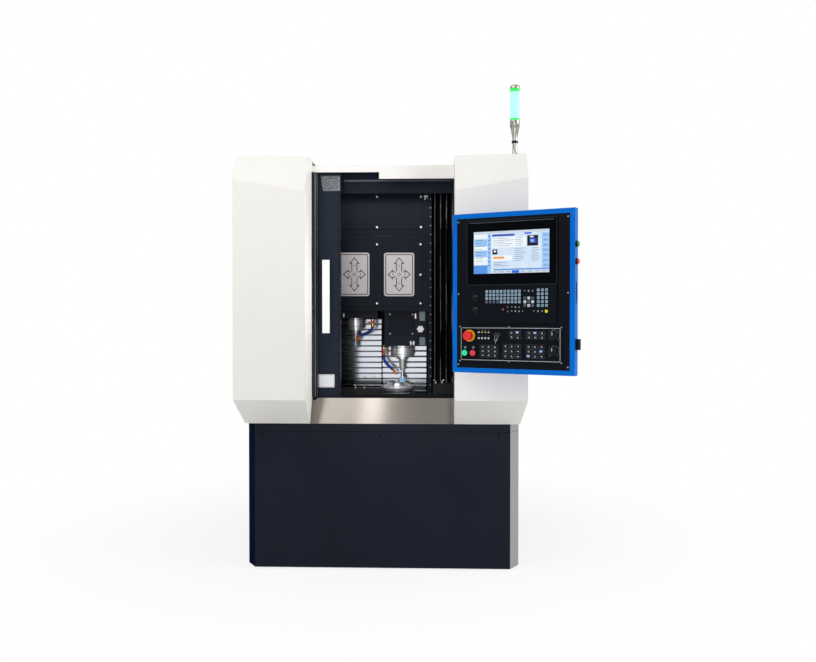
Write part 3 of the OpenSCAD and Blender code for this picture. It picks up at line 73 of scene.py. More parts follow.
# camera at the photographed place and angle
cameraSetup = {"place": (0.273, -4.925, 1.198), "tiltDown": 0.955, "turnLeft": 2.036, "lens": 39.706, "sensor": 36.0,
               "farthest": 60.0}
cameraData = bpy.data.cameras.new("studioCamera")
cameraData.lens = cameraSetup["lens"]
cameraData.sensor_width = cameraSetup["sensor"]
cameraData.clip_end = cameraSetup["farthest"]
camera = bpy.data.objects.new("studioCamera", cameraData)
camera.location = cameraSetup["place"]
camera.rotation_euler = (math.radians(90 - cameraSetup["tiltDown"]), 0, math.radians(cameraSetup["turnLeft"]))
scene.collection.objects.link(camera)
scene.camera = camera
scene.view_settings.view_transform = "Standard"


# node helpers: inputs are linked where a socket is given and set where a value is given
def add(tree, kind, inputs=None, **settings):
    node = tree.nodes.new(kind)
    for key, value in settings.items():
        setattr(node, key, value)
    for key, value in (inputs or {}).items():
        if isinstance(value, bpy.types.NodeSocket):
            tree.links.new(value, node.inputs[key])
        else:
            node.inputs[key].default_value = value
    return node


def noise(tree, place, **inputs):
    settings = {key.capitalize(): value for key, value in inputs.items()}
    return add(tree, "ShaderNodeTexNoise", {"Vector": place, **settings}).outputs[0]


def mixColour(tree, factor, first, second):
    return add(tree, "ShaderNodeMix", {0: factor, 6: first, 7: second}, data_type="RGBA").outputs[2]


def spread(tree, value, low=0.0, high=1.0, fromLow=0.3, fromHigh=0.7):
    return add(tree, "ShaderNodeMapRange", {"Value": value, "From Min": fromLow, "From Max": fromHigh,
                                            "To Min": low, "To Max": high}).outputs["Result"]


def maths(tree, operation, first, second, clamp=False):
    return add(tree, "ShaderNodeMath", {0: first, 1: second}, operation=operation, use_clamp=clamp).outputs[0]


def times(tree, first, second):
    return maths(tree, "MULTIPLY", first, second, True)


def objectPlace(tree):
    return add(tree, "ShaderNodeTexCoord").outputs["Object"]


def faceNormal(tree):
    return add(tree, "ShaderNodeNewGeometry").outputs["Normal"]


# colours are written as they look, 0 to 255
def tone(colour, scale=1.0):
    def linear(value):
        value = value / 255
        return value / 12.92 if value <= 0.04045 else ((value + 0.055) / 1.055) ** 2.4
    return tuple(min(1.0, linear(part) * scale) for part in colour) + (1.0,)


# node groups shared by the finishes, each with named inputs and outputs
def newGroup(name, inputs, outputs):
    group = bpy.data.node_groups.new(name, "ShaderNodeTree")
    for label, value in inputs.items():
        kind = "NodeSocketVector" if isinstance(value, tuple) else "NodeSocketFloat"
        group.interface.new_socket(name=label, in_out="INPUT", socket_type=kind).default_value = value
    for label in outputs:
        kind = "NodeSocketVector" if label == "Normal" else "NodeSocketFloat"
        group.interface.new_socket(name=label, in_out="OUTPUT", socket_type=kind)
    return group, group.nodes.new("NodeGroupInput").outputs, group.nodes.new("NodeGroupOutput").inputs


def makeSurfaceGrain():
    group, given, put = newGroup("surfaceGrain", {"Scale": 900.0, "Cloud Scale": 3.0}, ("Height", "Cloud"))
    place = objectPlace(group)
    group.links.new(noise(group, place, scale=given["Scale"], detail=2.0), put["Height"])
    group.links.new(noise(group, place, scale=given["Cloud Scale"], detail=4.0), put["Cloud"])
    return group


def makeBrushLines():
    inputs = {"Stretch": (8.0, 700.0, 700.0), "Cloud Scale": 3.0}
    group, given, put = newGroup("brushLines", inputs, ("Height", "Cloud"))
    place = objectPlace(group)
    drawn = add(group, "ShaderNodeMapping", {"Vector": place, "Scale": given["Stretch"]}).outputs[0]
    lines = noise(group, drawn, scale=1.0, detail=3.0)
    broad = noise(group, place, scale=given["Cloud Scale"], detail=3.0)
    lineShare = 0.4
    both = add(group, "ShaderNodeMix", {0: lineShare, 2: broad, 3: lines}, data_type="FLOAT").outputs[0]
    group.links.new(lines, put["Height"])
    group.links.new(both, put["Cloud"])
    return group


def makeSoftEdge():
    group, given, put = newGroup("softEdge", {"Radius": 0.001}, ("Normal",))
    bent = add(group, "ShaderNodeBevel", {"Radius": given["Radius"]}, samples=4).outputs[0]
    group.links.new(bent, put["Normal"])
    return group


def makeEdgeWear():
    group, given, put = newGroup("edgeWear", {"Radius": 0.003, "Amount": 0.5}, ("Mask",))
    bent = add(group, "ShaderNodeBevel", {"Radius": given["Radius"]}, samples=4).outputs[0]
    lean = add(group, "ShaderNodeVectorMath", {0: bent, 1: faceNormal(group)}, operation="DOT_PRODUCT").outputs["Value"]
    edge = spread(group, lean, fromLow=0.985, fromHigh=0.80)
    chips = noise(group, objectPlace(group), scale=55.0, detail=6.0, roughness=0.7)
    broken = times(group, edge, spread(group, chips, fromLow=0.46, fromHigh=0.62))
    group.links.new(times(group, broken, given["Amount"]), put["Mask"])
    return group


def makeSettledDust():
    group, given, put = newGroup("settledDust", {"Amount": 0.2}, ("Mask",))
    up = add(group, "ShaderNodeSeparateXYZ", {0: faceNormal(group)}).outputs[2]
    flat = spread(group, up, fromLow=0.35, fromHigh=0.95)
    drift = noise(group, objectPlace(group), scale=9.0, detail=7.0, roughness=0.65)
    lying = times(group, flat, spread(group, drift, low=0.15, fromLow=0.35))
    group.links.new(times(group, lying, given["Amount"]), put["Mask"])
    return group


def makeHandMarks():
    group, given, put = newGroup("handMarks", {"Scale": 14.0, "Amount": 0.1}, ("Mask",))
    smear = noise(group, objectPlace(group), scale=given["Scale"], detail=5.0, distortion=1.2)
    group.links.new(times(group, spread(group, smear, fromLow=0.48, fromHigh=0.68), given["Amount"]), put["Mask"])
    return group


def makeClothWeave():
    group, given, put = newGroup("clothWeave", {"Threads": 1400.0}, ("Height",))
    place = objectPlace(group)
    warp, weft = (add(group, "ShaderNodeTexWave", {"Vector": place, "Scale": given["Threads"]},
                      bands_direction=way).outputs[1] for way in ("Z", "DIAGONAL"))
    group.links.new(maths(group, "MAXIMUM", warp, weft), put["Height"])
    return group


groups = {group.name: group for group in (
    makeSurfaceGrain(), makeBrushLines(), makeSoftEdge(), makeEdgeWear(), makeSettledDust(), makeHandMarks(),
    makeClothWeave())}


def useGroup(tree, name, inputs):
    return add(tree, "ShaderNodeGroup", inputs, node_tree=groups[name]).outputs


print("groups:", ", ".join(groups))

# finishes: colour, share of it in the darker clouds, range of roughness, then what differs from the plain look;
# edge rounds edges in metres, brush stretches ground lines along x, y and z, drawn pulls reflections along x,
# speckle is the share, colour and scale of the spots
plainLook = {"metal": 0.0, "specular": 0.5, "grain": 900.0, "bump": 0.05, "cloud": 3.0, "edge": 0.0008, "wear": 0.0,
             "wearTone": (150, 152, 155), "dust": 0.0, "marks": 0.0, "brush": None, "weave": None, "coat": 0.0,
             "coatIor": 1.5, "glow": 0.0, "speckle": None, "drawn": 0.0}


def look(colour, shade, rough, **changes):
    return {**plainLook, "colour": colour, "shade": shade, "rough": rough, **changes}


# values that several finishes share
bodyPaint = {"grain": 620.0, "edge": 0.002, "wear": 0.08, "wearTone": (60, 66, 78), "dust": 0.03, "marks": 0.04}
smallMetal = {"metal": 1.0, "grain": 500.0, "edge": 0.0005}
ballPlastic = {"specular": 0.45, "grain": 500.0, "bump": 0.04, "cloud": 30.0}
keyCap = {"specular": 0.2, "cloud": 40.0}
printInk = {"specular": 0.3, "bump": 0.03, "cloud": 40.0}
lensPlastic = {"grain": 300.0, "bump": 0.03, "glow": 0.95}
lampPlastic = {"grain": 500.0, "bump": 0.03, "cloud": 40.0}
screenLight = {"specular": 0.15, "grain": 1600.0, "bump": 0.004, "cloud": 30.0, "glow": 0.9}

looks = {
    # paints
    "whitePaint": look((240, 238, 233), 0.965, (0.36, 0.48), specular=0.30, grain=520.0, edge=0.002, wear=0.08,
                       wearTone=(210, 208, 205), dust=0.08, cloud=1.6),
    "navyPaint": look((34, 42, 55), 0.84, (0.24, 0.32), **bodyPaint, specular=0.04),
    "basePaint": look((23, 29, 42), 0.82, (0.18, 0.26), **bodyPaint, specular=0.08),
    # two copies of the base paint for the base's corner faces: a darker matt one as painted shade on the left corners,
    # a glossier coated one as painted sheen on the right corners
    "cornerPaintedShade": look((17, 25, 44), 0.85, (0.5, 0.6), specular=0.0, grain=620.0, bump=0.04, edge=0.002),
    "cornerPaintedSheen": look((23, 29, 42), 0.82, (0.07, 0.12), specular=0.6, coat=1.0, coatIor=2.6, grain=620.0, bump=0.02,
                        edge=0.002, marks=0.03),
    "darkPaint": look((26, 30, 40), 0.84, (0.34, 0.42), specular=0.06, grain=700.0, edge=0.0012, wear=0.12,
                      wearTone=(70, 76, 88), marks=0.04),
    "headPaint": look((27, 32, 43), 0.84, (0.32, 0.42), specular=0.08, grain=700.0, edge=0.0015, wear=0.16,
                      wearTone=(84, 90, 100), marks=0.04),
    # also on the sill's top faces, where it is painted shade
    "coverBlackAndSillShade": look((13, 14, 17), 0.75, (0.42, 0.56), specular=0.10, grain=380.0, bump=0.09, wear=0.16,
                       wearTone=(54, 57, 62), dust=0.04),
    "castGrey": look((72, 76, 82), 0.78, (0.45, 0.62), specular=0.3, grain=240.0, bump=0.16, wear=0.2,
                     wearTone=(112, 114, 116), dust=0.06),
    "panelBlue": look((0, 110, 212), 0.86, (0.26, 0.36), specular=0.07, grain=560.0, edge=0.002, wear=0.10,
                      wearTone=(40, 128, 214), marks=0.04),
    "jambGloss": look((14, 17, 24), 0.8, (0.14, 0.22), specular=0.18, grain=600.0, bump=0.03),
    # bare metals
    "brushedSill": look((126, 120, 114), 0.93, (0.14, 0.19), metal=1.0, brush=(0.8, 900.0, 900.0), bump=0.004,
                        edge=0.0012, drawn=0.9),
    "groundSteel": look((206, 208, 211), 0.84, (0.20, 0.30), metal=1.0, brush=(420.0, 420.0, 6.0), edge=0.0006,
                        marks=0.06),
    "slatSteel": look((142, 144, 150), 0.88, (0.11, 0.17), metal=1.0, brush=(2.0, 700.0, 700.0), bump=0.02,
                      edge=0.0006),
    "chuckSteel": look((248, 249, 251), 0.88, (0.2, 0.3), metal=0.45, brush=(420.0, 420.0, 6.0), marks=0.06),
    "polishedSteel": look((244, 246, 248), 0.84, (0.24, 0.34), metal=0.62, brush=(30.0, 30.0, 520.0), bump=0.03,
                          edge=0.0005),
    "chrome": look((222, 224, 227), 0.92, (0.05, 0.11), metal=1.0, bump=0.012, grain=300.0, edge=0.0004),
    "towerChrome": look((182, 177, 171), 0.42, (0.08, 0.16), metal=1.0, brush=(190.0, 190.0, 2.0), bump=0.02,
                        cloud=70.0, edge=0.0004),
    "switchGrey": look((104, 107, 112), 0.8, (0.22, 0.34), **smallMetal, bump=0.03),
    # also the jamb's pale strips, which are painted highlight lines
    "zincAndJambHighlight": look((160, 163, 165), 0.76, (0.28, 0.42), **smallMetal),
    "brightScrew": look((238, 240, 242), 0.9, (0.3, 0.42), **{**smallMetal, "metal": 0.7}, bump=0.03),
    "darkScrew": look((46, 48, 53), 0.7, (0.3, 0.42), **{**smallMetal, "grain": 700.0}, bump=0.04),
    "brass": look((228, 200, 132), 0.82, (0.18, 0.30), **{**smallMetal, "grain": 400.0}, bump=0.04),
    "slatGroove": look((128, 131, 138), 0.8, (0.30, 0.42), metal=0.8, grain=500.0),
    # also the dark plates in the rear louvre slots, painted shade of the openings
    "grooveDarkAndSlotShade": look((84, 87, 94), 0.8, (0.34, 0.46), metal=0.6, grain=500.0),
    "stripGrey": look((96, 110, 112), 0.86, (0.34, 0.46), metal=0.6, grain=600.0),
    # grey for the painted highlight line along the header beam
    "beamHighlightGrey": look((92, 95, 102), 0.86, (0.3, 0.42), metal=0.3, grain=600.0),
    "jointGrey": look((44, 47, 54), 0.86, (0.3, 0.42), metal=0.5, grain=600.0),
    # plastics, rubber, cloth and grit
    "leverRed": look((196, 30, 26), 0.82, (0.32, 0.44), specular=0.45, grain=600.0, wear=0.25,
                     wearTone=(150, 120, 116)),
    "hoseBlue": look((14, 62, 170), 0.78, (0.28, 0.40), **ballPlastic),
    "nozzleOrange": look((255, 138, 24), 0.86, (0.28, 0.40), **ballPlastic),
    "wheelGrit": look((186, 226, 255), 0.88, (0.72, 0.9), specular=0.2, grain=1500.0, bump=0.4, cloud=60.0,
                      speckle=(0.42, (150, 192, 236), 420.0)),
    "knobWhite": look((246, 246, 245), 0.96, (0.24, 0.34), specular=0.4, grain=420.0, bump=0.03, marks=0.04),
    "plateWhite": look((234, 236, 239), 0.95, (0.34, 0.46), specular=0.4, grain=700.0, bump=0.04),
    "panelBlack": look((13, 17, 25), 0.86, (0.36, 0.46), specular=0.05, grain=520.0, bump=0.08, marks=0.05),
    "glassBlack": look((4, 6, 11), 0.8, (0.05, 0.10), specular=0.025, grain=90.0, bump=0.004, marks=0.08),
    "plateSilver": look((210, 206, 210), 0.93, (0.30, 0.40), specular=0.4, grain=1200.0, bump=0.03, cloud=6.0),
    "collarYellow": look((244, 176, 26), 0.9, (0.30, 0.42), specular=0.3, grain=600.0, cloud=20.0),
    "stopRed": look((232, 32, 22), 0.86, (0.20, 0.30), specular=0.45, grain=600.0, cloud=20.0),
    "dialBlack": look((22, 24, 28), 0.82, (0.32, 0.46), specular=0.15, grain=700.0, bump=0.07, cloud=20.0),
    "rubber": look((17, 18, 20), 0.8, (0.55, 0.72), specular=0.25, bump=0.12, cloud=8.0),
    "bellowsCloth": look((14, 15, 18), 0.72, (0.30, 0.42), specular=0.3, weave=520.0, bump=0.12, cloud=7.0,
                         edge=0.0006),
    # pale fold tips: painted highlight on the black cloth
    "bellowsPaintedHighlight": look((126, 130, 138), 0.55, (0.22, 0.32), specular=0.6, weave=520.0, bump=0.08, cloud=9.0),
    "speckledPlate": look((146, 150, 156), 0.9, (0.5, 0.62), specular=0.3, grain=700.0, bump=0.2, cloud=12.0,
                          speckle=(0.50, (46, 50, 57), 230.0)),
    # keys, prints and lit parts
    "keyGrey": look((146, 172, 190), 0.9, (0.36, 0.46), **keyCap),
    "keyDim": look((84, 94, 106), 0.9, (0.36, 0.46), **keyCap),
    "keyPale": look((214, 219, 226), 0.93, (0.36, 0.46), **keyCap),
    "keyBlack": look((17, 20, 25), 0.85, (0.34, 0.46), specular=0.10, cloud=40.0),
    "keyYellow": look((252, 226, 24), 0.92, (0.34, 0.46), specular=0.35, cloud=40.0),
    "lampLime": look((206, 212, 112), 0.9, (0.3, 0.4), **keyCap, bump=0.03, glow=0.5),
    "printWhite": look((222, 226, 230), 0.93, (0.45, 0.55), **printInk),
    "printGrey": look((110, 118, 128), 0.9, (0.45, 0.55), **printInk),
    "printMaroon": look((92, 14, 32), 0.88, (0.42, 0.52), **printInk),
    "lensGreen": look((6, 244, 84), 0.88, (0.12, 0.2), **lensPlastic, cloud=20.0),
    "lensCore": look((182, 253, 249), 0.92, (0.12, 0.2), **lensPlastic, cloud=14.0),
    "litGreen": look((24, 226, 146), 0.88, (0.2, 0.3), **lampPlastic, glow=0.9),
    "litRed": look((224, 48, 68), 0.88, (0.2, 0.3), **lampPlastic, glow=0.8),
    "pushGreen": look((24, 150, 76), 0.86, (0.24, 0.34), **lampPlastic),
}
screenTones = {"screenPale": (212, 230, 248), "screenWhite": (240, 247, 253), "screenSky": (150, 194, 242),
               "screenBlue": (88, 150, 228), "screenDeep": (58, 84, 190), "screenBright": (28, 104, 236),
               "screenBlack": (14, 18, 30), "screenOrange": (250, 152, 46), "screenText": (96, 118, 150),
               "screenGrey": (204, 216, 230)}
for name, colour in screenTones.items():
    looks[name] = look(colour, 0.93, (0.06, 0.12), **screenLight)

# what all finishes have in common
finishSetup = {"dustTone": (176, 172, 164), "marksScale": 11.0, "bumpDeep": 0.0006, "wearLeast": 0.0025,
               "speckleGrain": 1100.0, "speckleSoft": 0.025, "litBody": (0.10, 0.16)}
finished = {}


def newMaterial(name):
    material = bpy.data.materials.new(name)
    material.use_nodes = True
    material.node_tree.nodes.clear()
    return material, material.node_tree


def finish(name):
    if name in finished:
        return finished[name]
    wanted = looks[name]
    material, tree = newMaterial(name)
    if wanted["brush"]:
        field = useGroup(tree, "brushLines", {"Stretch": wanted["brush"], "Cloud Scale": wanted["cloud"]})
    else:
        field = useGroup(tree, "surfaceGrain", {"Scale": wanted["grain"], "Cloud Scale": wanted["cloud"]})
    height, cloud = field["Height"], field["Cloud"]
    if wanted["weave"]:
        height = useGroup(tree, "clothWeave", {"Threads": wanted["weave"]})["Height"]
    clouded = spread(tree, cloud)
    colour = mixColour(tree, clouded, tone(wanted["colour"], wanted["shade"]), tone(wanted["colour"]))
    rough = spread(tree, cloud, *wanted["rough"], fromLow=0.35, fromHigh=0.65)
    if wanted["speckle"]:
        share, spot, dotScale = wanted["speckle"]
        soft = finishSetup["speckleSoft"]
        dots = useGroup(tree, "surfaceGrain", {"Scale": finishSetup["speckleGrain"], "Cloud Scale": dotScale})["Cloud"]
        dotMask = spread(tree, dots, fromLow=1.0 - share - soft, fromHigh=1.0 - share + soft)
        colour = mixColour(tree, dotMask, colour, tone(spot))
    if wanted["wear"]:
        reach = max(finishSetup["wearLeast"], wanted["edge"] * 2)
        worn = useGroup(tree, "edgeWear", {"Radius": reach, "Amount": wanted["wear"]})["Mask"]
        colour = mixColour(tree, worn, colour, tone(wanted["wearTone"]))
    if wanted["dust"]:
        dusty = useGroup(tree, "settledDust", {"Amount": wanted["dust"]})["Mask"]
        colour = mixColour(tree, dusty, colour, tone(finishSetup["dustTone"]))
    if wanted["marks"]:
        marked = useGroup(tree, "handMarks", {"Scale": finishSetup["marksScale"], "Amount": wanted["marks"]})["Mask"]
        rough = maths(tree, "ADD", rough, marked, True)
    smooth = useGroup(tree, "softEdge", {"Radius": wanted["edge"]})["Normal"]
    bump = add(tree, "ShaderNodeBump", {"Height": height, "Normal": smooth, "Strength": wanted["bump"],
                                        "Distance": finishSetup["bumpDeep"]}).outputs[0]
    inputs = {"Base Color": colour, "Roughness": rough, "Normal": bump, "Metallic": wanted["metal"],
              "Specular IOR Level": wanted["specular"], "Coat Weight": wanted["coat"], "Coat IOR": wanted["coatIor"],
              "Anisotropic": wanted["drawn"]}
    if wanted["drawn"]:
        inputs["Tangent"] = add(tree, "ShaderNodeTangent", direction_type="RADIAL", axis="X").outputs[0]
    if wanted["glow"]:  # a lit part is dim itself and takes its colour from its own light
        dim, bright = (tone(wanted["colour"], share) for share in finishSetup["litBody"])
        inputs.update({"Base Color": mixColour(tree, clouded, dim, bright), "Emission Color": colour,
                       "Emission Strength": wanted["glow"]})
    shader = add(tree, "ShaderNodeBsdfPrincipled", inputs)
    add(tree, "ShaderNodeOutputMaterial", {"Surface": shader.outputs[0]})
    finished[name] = material
    return material


# safety glass of the door window
glassLook = {"tint": (214, 224, 226), "shade": 0.96, "ior": 1.5, "rough": (0.015, 0.05), "grain": 300.0, "cloud": 4.0,
             "marks": 0.05, "marksScale": 9.0}
finished["windowGlass"], tree = newMaterial("windowGlass")
cloud = useGroup(tree, "surfaceGrain", {"Scale": glassLook["grain"], "Cloud Scale": glassLook["cloud"]})["Cloud"]
tint = mixColour(tree, spread(tree, cloud), tone(glassLook["tint"], glassLook["shade"]), tone(glassLook["tint"]))
marked = useGroup(tree, "handMarks", {"Scale": glassLook["marksScale"], "Amount": glassLook["marks"]})["Mask"]
rough = maths(tree, "ADD", spread(tree, cloud, *glassLook["rough"]), marked, True)
shader = add(tree, "ShaderNodeBsdfPrincipled", {"Base Color": tint, "Roughness": rough, "Transmission Weight": 1.0,
                                                "IOR": glassLook["ior"]})
add(tree, "ShaderNodeOutputMaterial", {"Surface": shader.outputs[0]})

# studio: white world and floor for the camera, plain soft light on the machine
# a lamp has a place, an aim, a size and a power; hidden lamps are neither seen nor mirrored
studio = {"ambient": 0.46, "floorTone": (244, 244, 244), "floorHalf": 14.0,
          "floorWhite": (0.84, 1.0), "floorFade": (0.9, 2.2),  # shadow near the machine, white beyond
          "hiddenLamps": ("rim", "table", "doorway"), "doorwaySpread": 100.0}
lamps = {"key": ((-1.0, -5.4, 2.3), (0.0, -0.4, 1.1), (2.0, 2.0), 28.0),
         "low": ((0.4, -5.6, 0.7), (0.0, -0.6, 0.7), (2.4, 1.0), 15.5),
         "side": ((4.4, -1.9, 3.0), (-0.34, -0.75, 1.3), (1.6, 2.0), 96.0),
         "rim": ((4.4, 2.0, 0.56), (0.63, -0.66, 0.5), (2.2, 1.1), 14.0),
         "top": ((-1.75, -2.7, 4.6), (0.0, -0.5, 0.9), (2.4, 3.2), 56.0),
         "band": ((-0.35, -2.7, 4.6), (0.0, -0.5, 0.9), (0.2, 2.4), 6.0),
         "work": ((0.02, -0.47, 1.78), (0.02, -0.3, 0.8), (0.6, 0.06), 0.7),
         "table": ((0.05, -0.505, 0.88), (0.05, -0.25, 0.80), (0.4, 0.04), 0.22),
         "doorway": ((0.33, -0.81, 1.29), (-0.34, -0.81, 1.29), (0.05, 1.16), 1.7)}
white = (1, 1, 1, 1)


def seenRay(tree):
    path = add(tree, "ShaderNodeLightPath").outputs
    direct = maths(tree, "ADD", path["Is Camera Ray"], path["Is Glossy Ray"])
    return maths(tree, "ADD", direct, path["Is Transmission Ray"], True)


world = bpy.data.worlds.new("studioWorld")
scene.world = world
world.use_nodes = True
tree = world.node_tree
tree.nodes.clear()
dimSky = add(tree, "ShaderNodeBackground", {"Color": white, "Strength": studio["ambient"]})
whiteSky = add(tree, "ShaderNodeBackground", {"Color": white, "Strength": 1.0})
skyMix = add(tree, "ShaderNodeMixShader", {0: seenRay(tree), 1: dimSky.outputs[0], 2: whiteSky.outputs[0]})
add(tree, "ShaderNodeOutputWorld", {"Surface": skyMix.outputs[0]})

floorMaterial, tree = newMaterial("studioFloor")
matt = add(tree, "ShaderNodeBsdfDiffuse", {"Color": tone(studio["floorTone"])})
shine = add(tree, "ShaderNodeEmission", {"Color": white, "Strength": 1.0})
away = add(tree, "ShaderNodeVectorMath", {0: objectPlace(tree)}, operation="LENGTH").outputs["Value"]
whiter = maths(tree, "MULTIPLY", seenRay(tree), spread(tree, away, *studio["floorWhite"], *studio["floorFade"]))
floorMix = add(tree, "ShaderNodeMixShader", {0: whiter, 1: matt.outputs[0], 2: shine.outputs[0]})
add(tree, "ShaderNodeOutputMaterial", {"Surface": floorMix.outputs[0]})
half = studio["floorHalf"]
floorMesh = bpy.data.meshes.new("studioFloor")
floorMesh.from_pydata([(-half, -half, 0), (half, -half, 0), (half, half, 0), (-half, half, 0)], [], [(0, 1, 2, 3)])
floorMesh.materials.append(floorMaterial)
studioFloor = bpy.data.objects.new("studioFloor", floorMesh)
scene.collection.objects.link(studioFloor)
for name, (place, aim, (wide, high), power) in lamps.items():
    lampData = bpy.data.lights.new(name + "Light", "AREA")
    lampData.shape = "RECTANGLE"
    lampData.size, lampData.size_y, lampData.energy = wide, high, power
    lamp = bpy.data.objects.new(name + "Light", lampData)
    lamp.location = place
    lamp.rotation_euler = (Vector(aim) - Vector(place)).to_track_quat("-Z", "Y").to_euler()
    if name in studio["hiddenLamps"]:
        lamp.visible_glossy = lamp.visible_camera = lamp.visible_transmission = False
    if name == "doorway":
        lampData.spread = math.radians(studio["doorwaySpread"])
    scene.collection.objects.link(lamp)
print("studio: world, floor and", len(lamps), "lamps")


# shapes in millimetres as (points, faces); a face-on shape lies in x and y and stands out along z
def bevelBox(width, depth, height, bevel=1.0, steps=2):
    work = bmesh.new()
    bmesh.ops.create_cube(work, size=1.0)
    bmesh.ops.scale(work, vec=(width, depth, height), verts=work.verts)
    bmesh.ops.bevel(work, geom=list(work.edges), offset=bevel, segments=steps, affect="EDGES", profile=0.5)
    work.verts.index_update()
    shape = ([tuple(v.co) for v in work.verts], [[v.index for v in f.verts] for f in work.faces])
    work.free()
    return shape


def stack(rings, closed=True):
    count = len(rings[0])
    points = [p for ring in rings for p in ring]
    faces = []
    for i in range(len(rings) - 1):
        for j in range(count):
            k = (j + 1) % count
            faces.append([i * count + j, i * count + k, (i + 1) * count + k, (i + 1) * count + j])
    if closed:
        faces.append(list(range(count))[::-1])
        faces.append([(len(rings) - 1) * count + j for j in range(count)])
    return points, faces


def onCircle(radius, degrees):
    return radius * math.cos(math.radians(degrees)), radius * math.sin(math.radians(degrees))


def roundCorners(width, height, radius, steps=5):
    least = 0.01
    radius = max(least, min(radius, width / 2 - least, height / 2 - least))
    points = []
    for sx, sy, start in ((1, 1, 0), (-1, 1, 90), (-1, -1, 180), (1, -1, 270)):
        for i in range(steps + 1):
            x, y = onCircle(radius, start + 90 * i / steps)
            points.append((sx * (width / 2 - radius) + x, sy * (height / 2 - radius) + y))
    return points


def plateShape(width, height, thick, radius=3.0, bevel=0.6, steps=5):
    rim = roundCorners(width, height, radius, steps)
    inner = roundCorners(width - 2 * bevel, height - 2 * bevel, max(0.05, radius - bevel), steps)
    levels = ((rim, 0), (rim, thick - bevel), (inner, thick))
    return stack([[(x, y, z) for x, y in ring] for ring, z in levels])


def frameShape(width, height, band, thick, radius=3.0, bevel=0.5, steps=5):
    rings, low = [], thick - bevel
    for inset, z in ((0, 0), (0, low), (bevel, thick), (band - bevel, thick), (band, low), (band, 0)):
        ring = roundCorners(width - 2 * inset, height - 2 * inset, max(0.05, radius - inset), steps)
        rings.append([(x, y, z) for x, y in ring])
    points, faces = stack(rings, False)
    count, last = len(rings[0]), (len(rings) - 1) * len(rings[0])
    faces += [[last + j, last + (j + 1) % count, (j + 1) % count, j] for j in range(count)]
    return points, faces


def prismShape(outline, thick, bevel=0.4):
    middle = Vector([sum(p[i] for p in outline) / len(outline) for i in (0, 1)])
    shrink = 1 - bevel / max((Vector(p) - middle).length for p in outline)
    top = [tuple(middle.lerp(Vector(p), shrink)) for p in outline]
    levels = ((outline, 0), (outline, thick - bevel), (top, thick))
    return stack([[(x, y, z) for x, y in ring] for ring, z in levels])


# a profile of (radius, height) turned about z; radius 0 closes it to a point
def latheShape(profile, turns=24):
    points, faces, rows = [], [], []
    for radius, z in profile:
        if not radius:
            rows.append([len(points)] * turns)
            points.append((0, 0, z))
        else:
            rows.append([len(points) + i for i in range(turns)])
            points += [onCircle(radius, 360 * i / turns) + (z,) for i in range(turns)]
    for low, high in zip(rows, rows[1:]):
        for i in range(turns):
            j = (i + 1) % turns
            face = [low[i], low[j], high[j], high[i]]
            faces.append([p for n, p in enumerate(face) if p not in face[:n]])
    if profile[0][0]:
        faces.append(rows[0][::-1])
    if profile[-1][0]:
        faces.append(rows[-1])
    return points, [f for f in faces if len(f) > 2]


# a flat line of even width, mitred at its corners
def strokeShape(line, width, thick=0.25, closed=True):
    sharpest = 0.35
    count = len(line)
    left, right = [], []
    for i, (x, y) in enumerate(line):
        before = line[i - 1] if closed or i else None
        after = line[(i + 1) % count] if closed or i < count - 1 else None
        ways = []
        for a, b in ((before, (x, y)), ((x, y), after)):
            if a is not None and b is not None:
                size = math.hypot(b[0] - a[0], b[1] - a[1])
                ways.append((-(b[1] - a[1]) / size, (b[0] - a[0]) / size))
        nx, ny = sum(w[0] for w in ways), sum(w[1] for w in ways)
        size = math.hypot(nx, ny)
        nx, ny = nx / size, ny / size
        reach = width / 2 / max(sharpest, nx * ways[0][0] + ny * ways[0][1])
        left.append((x + nx * reach, y + ny * reach))
        right.append((x - nx * reach, y - ny * reach))
    points = [(x, y, z) for side in (left, right) for z in (0, thick) for x, y in side]
    faces = []
    for i in range(count if closed else count - 1):
        j = (i + 1) % count
        for a, b in ((0, count), (count, 3 * count), (3 * count, 2 * count), (2 * count, 0)):
            faces.append([a + i, a + j, b + j, b + i])
    if not closed:
        faces += [[0, count, 3 * count, 2 * count], [count - 1, 3 * count - 1, 4 * count - 1, 2 * count - 1]]
    return points, faces


def circleLine(radius, steps=20, start=0.0, sweep=360.0):
    count = steps if sweep >= 360 else steps + 1
    return [onCircle(radius, start + sweep * i / steps) for i in range(count)]


def tubeShape(path, radius, turns=12):
    path = [Vector(p) for p in path]
    side = Vector((0, 0, 1)) if abs((path[1] - path[0]).normalized().z) < 0.9 else Vector((1, 0, 0))
    rings = []
    for i, p in enumerate(path):
        way = (path[min(i + 1, len(path) - 1)] - path[max(i - 1, 0)]).normalized()
        side = (side - way * side.dot(way)).normalized()
        across = way.cross(side)
        rings.append([tuple(p + side * u + across * v) for u, v in circleLine(radius, turns)])
    return stack(rings)


# a cap screw with a socket
def screwShape(radius, high, turns=18):
    hole, floor = radius * 0.52, high * 0.45
    return latheShape([(radius, 0), (radius, high * 0.72), (radius * 0.86, high), (hole * 1.12, high),
                       (hole, high - 0.3), (hole, floor), (0, floor - 0.2)], turns)


def grooveRing(radius, proud, innerHalf, outerHalf, turns):
    inside, outside = radius - 1.5, radius + proud
    return latheShape([(inside, -innerHalf), (outside, -outerHalf), (outside, outerHalf), (inside, innerHalf)], turns)


def hexNut(across, high):
    return prismShape([onCircle(across / math.sqrt(3), 60 * i) for i in range(6)], high, 0.6)


# a pipe barrel with a raised band in the middle
def barrel(radius, half, turns=22):
    band = radius + 1.4
    upper = [(band, half * 0.34), (radius, half * 0.4), (radius, half - 0.8), (radius - 0.6, half), (0, half)]
    return latheShape([(r, -z) for r, z in upper[::-1]] + upper, turns)


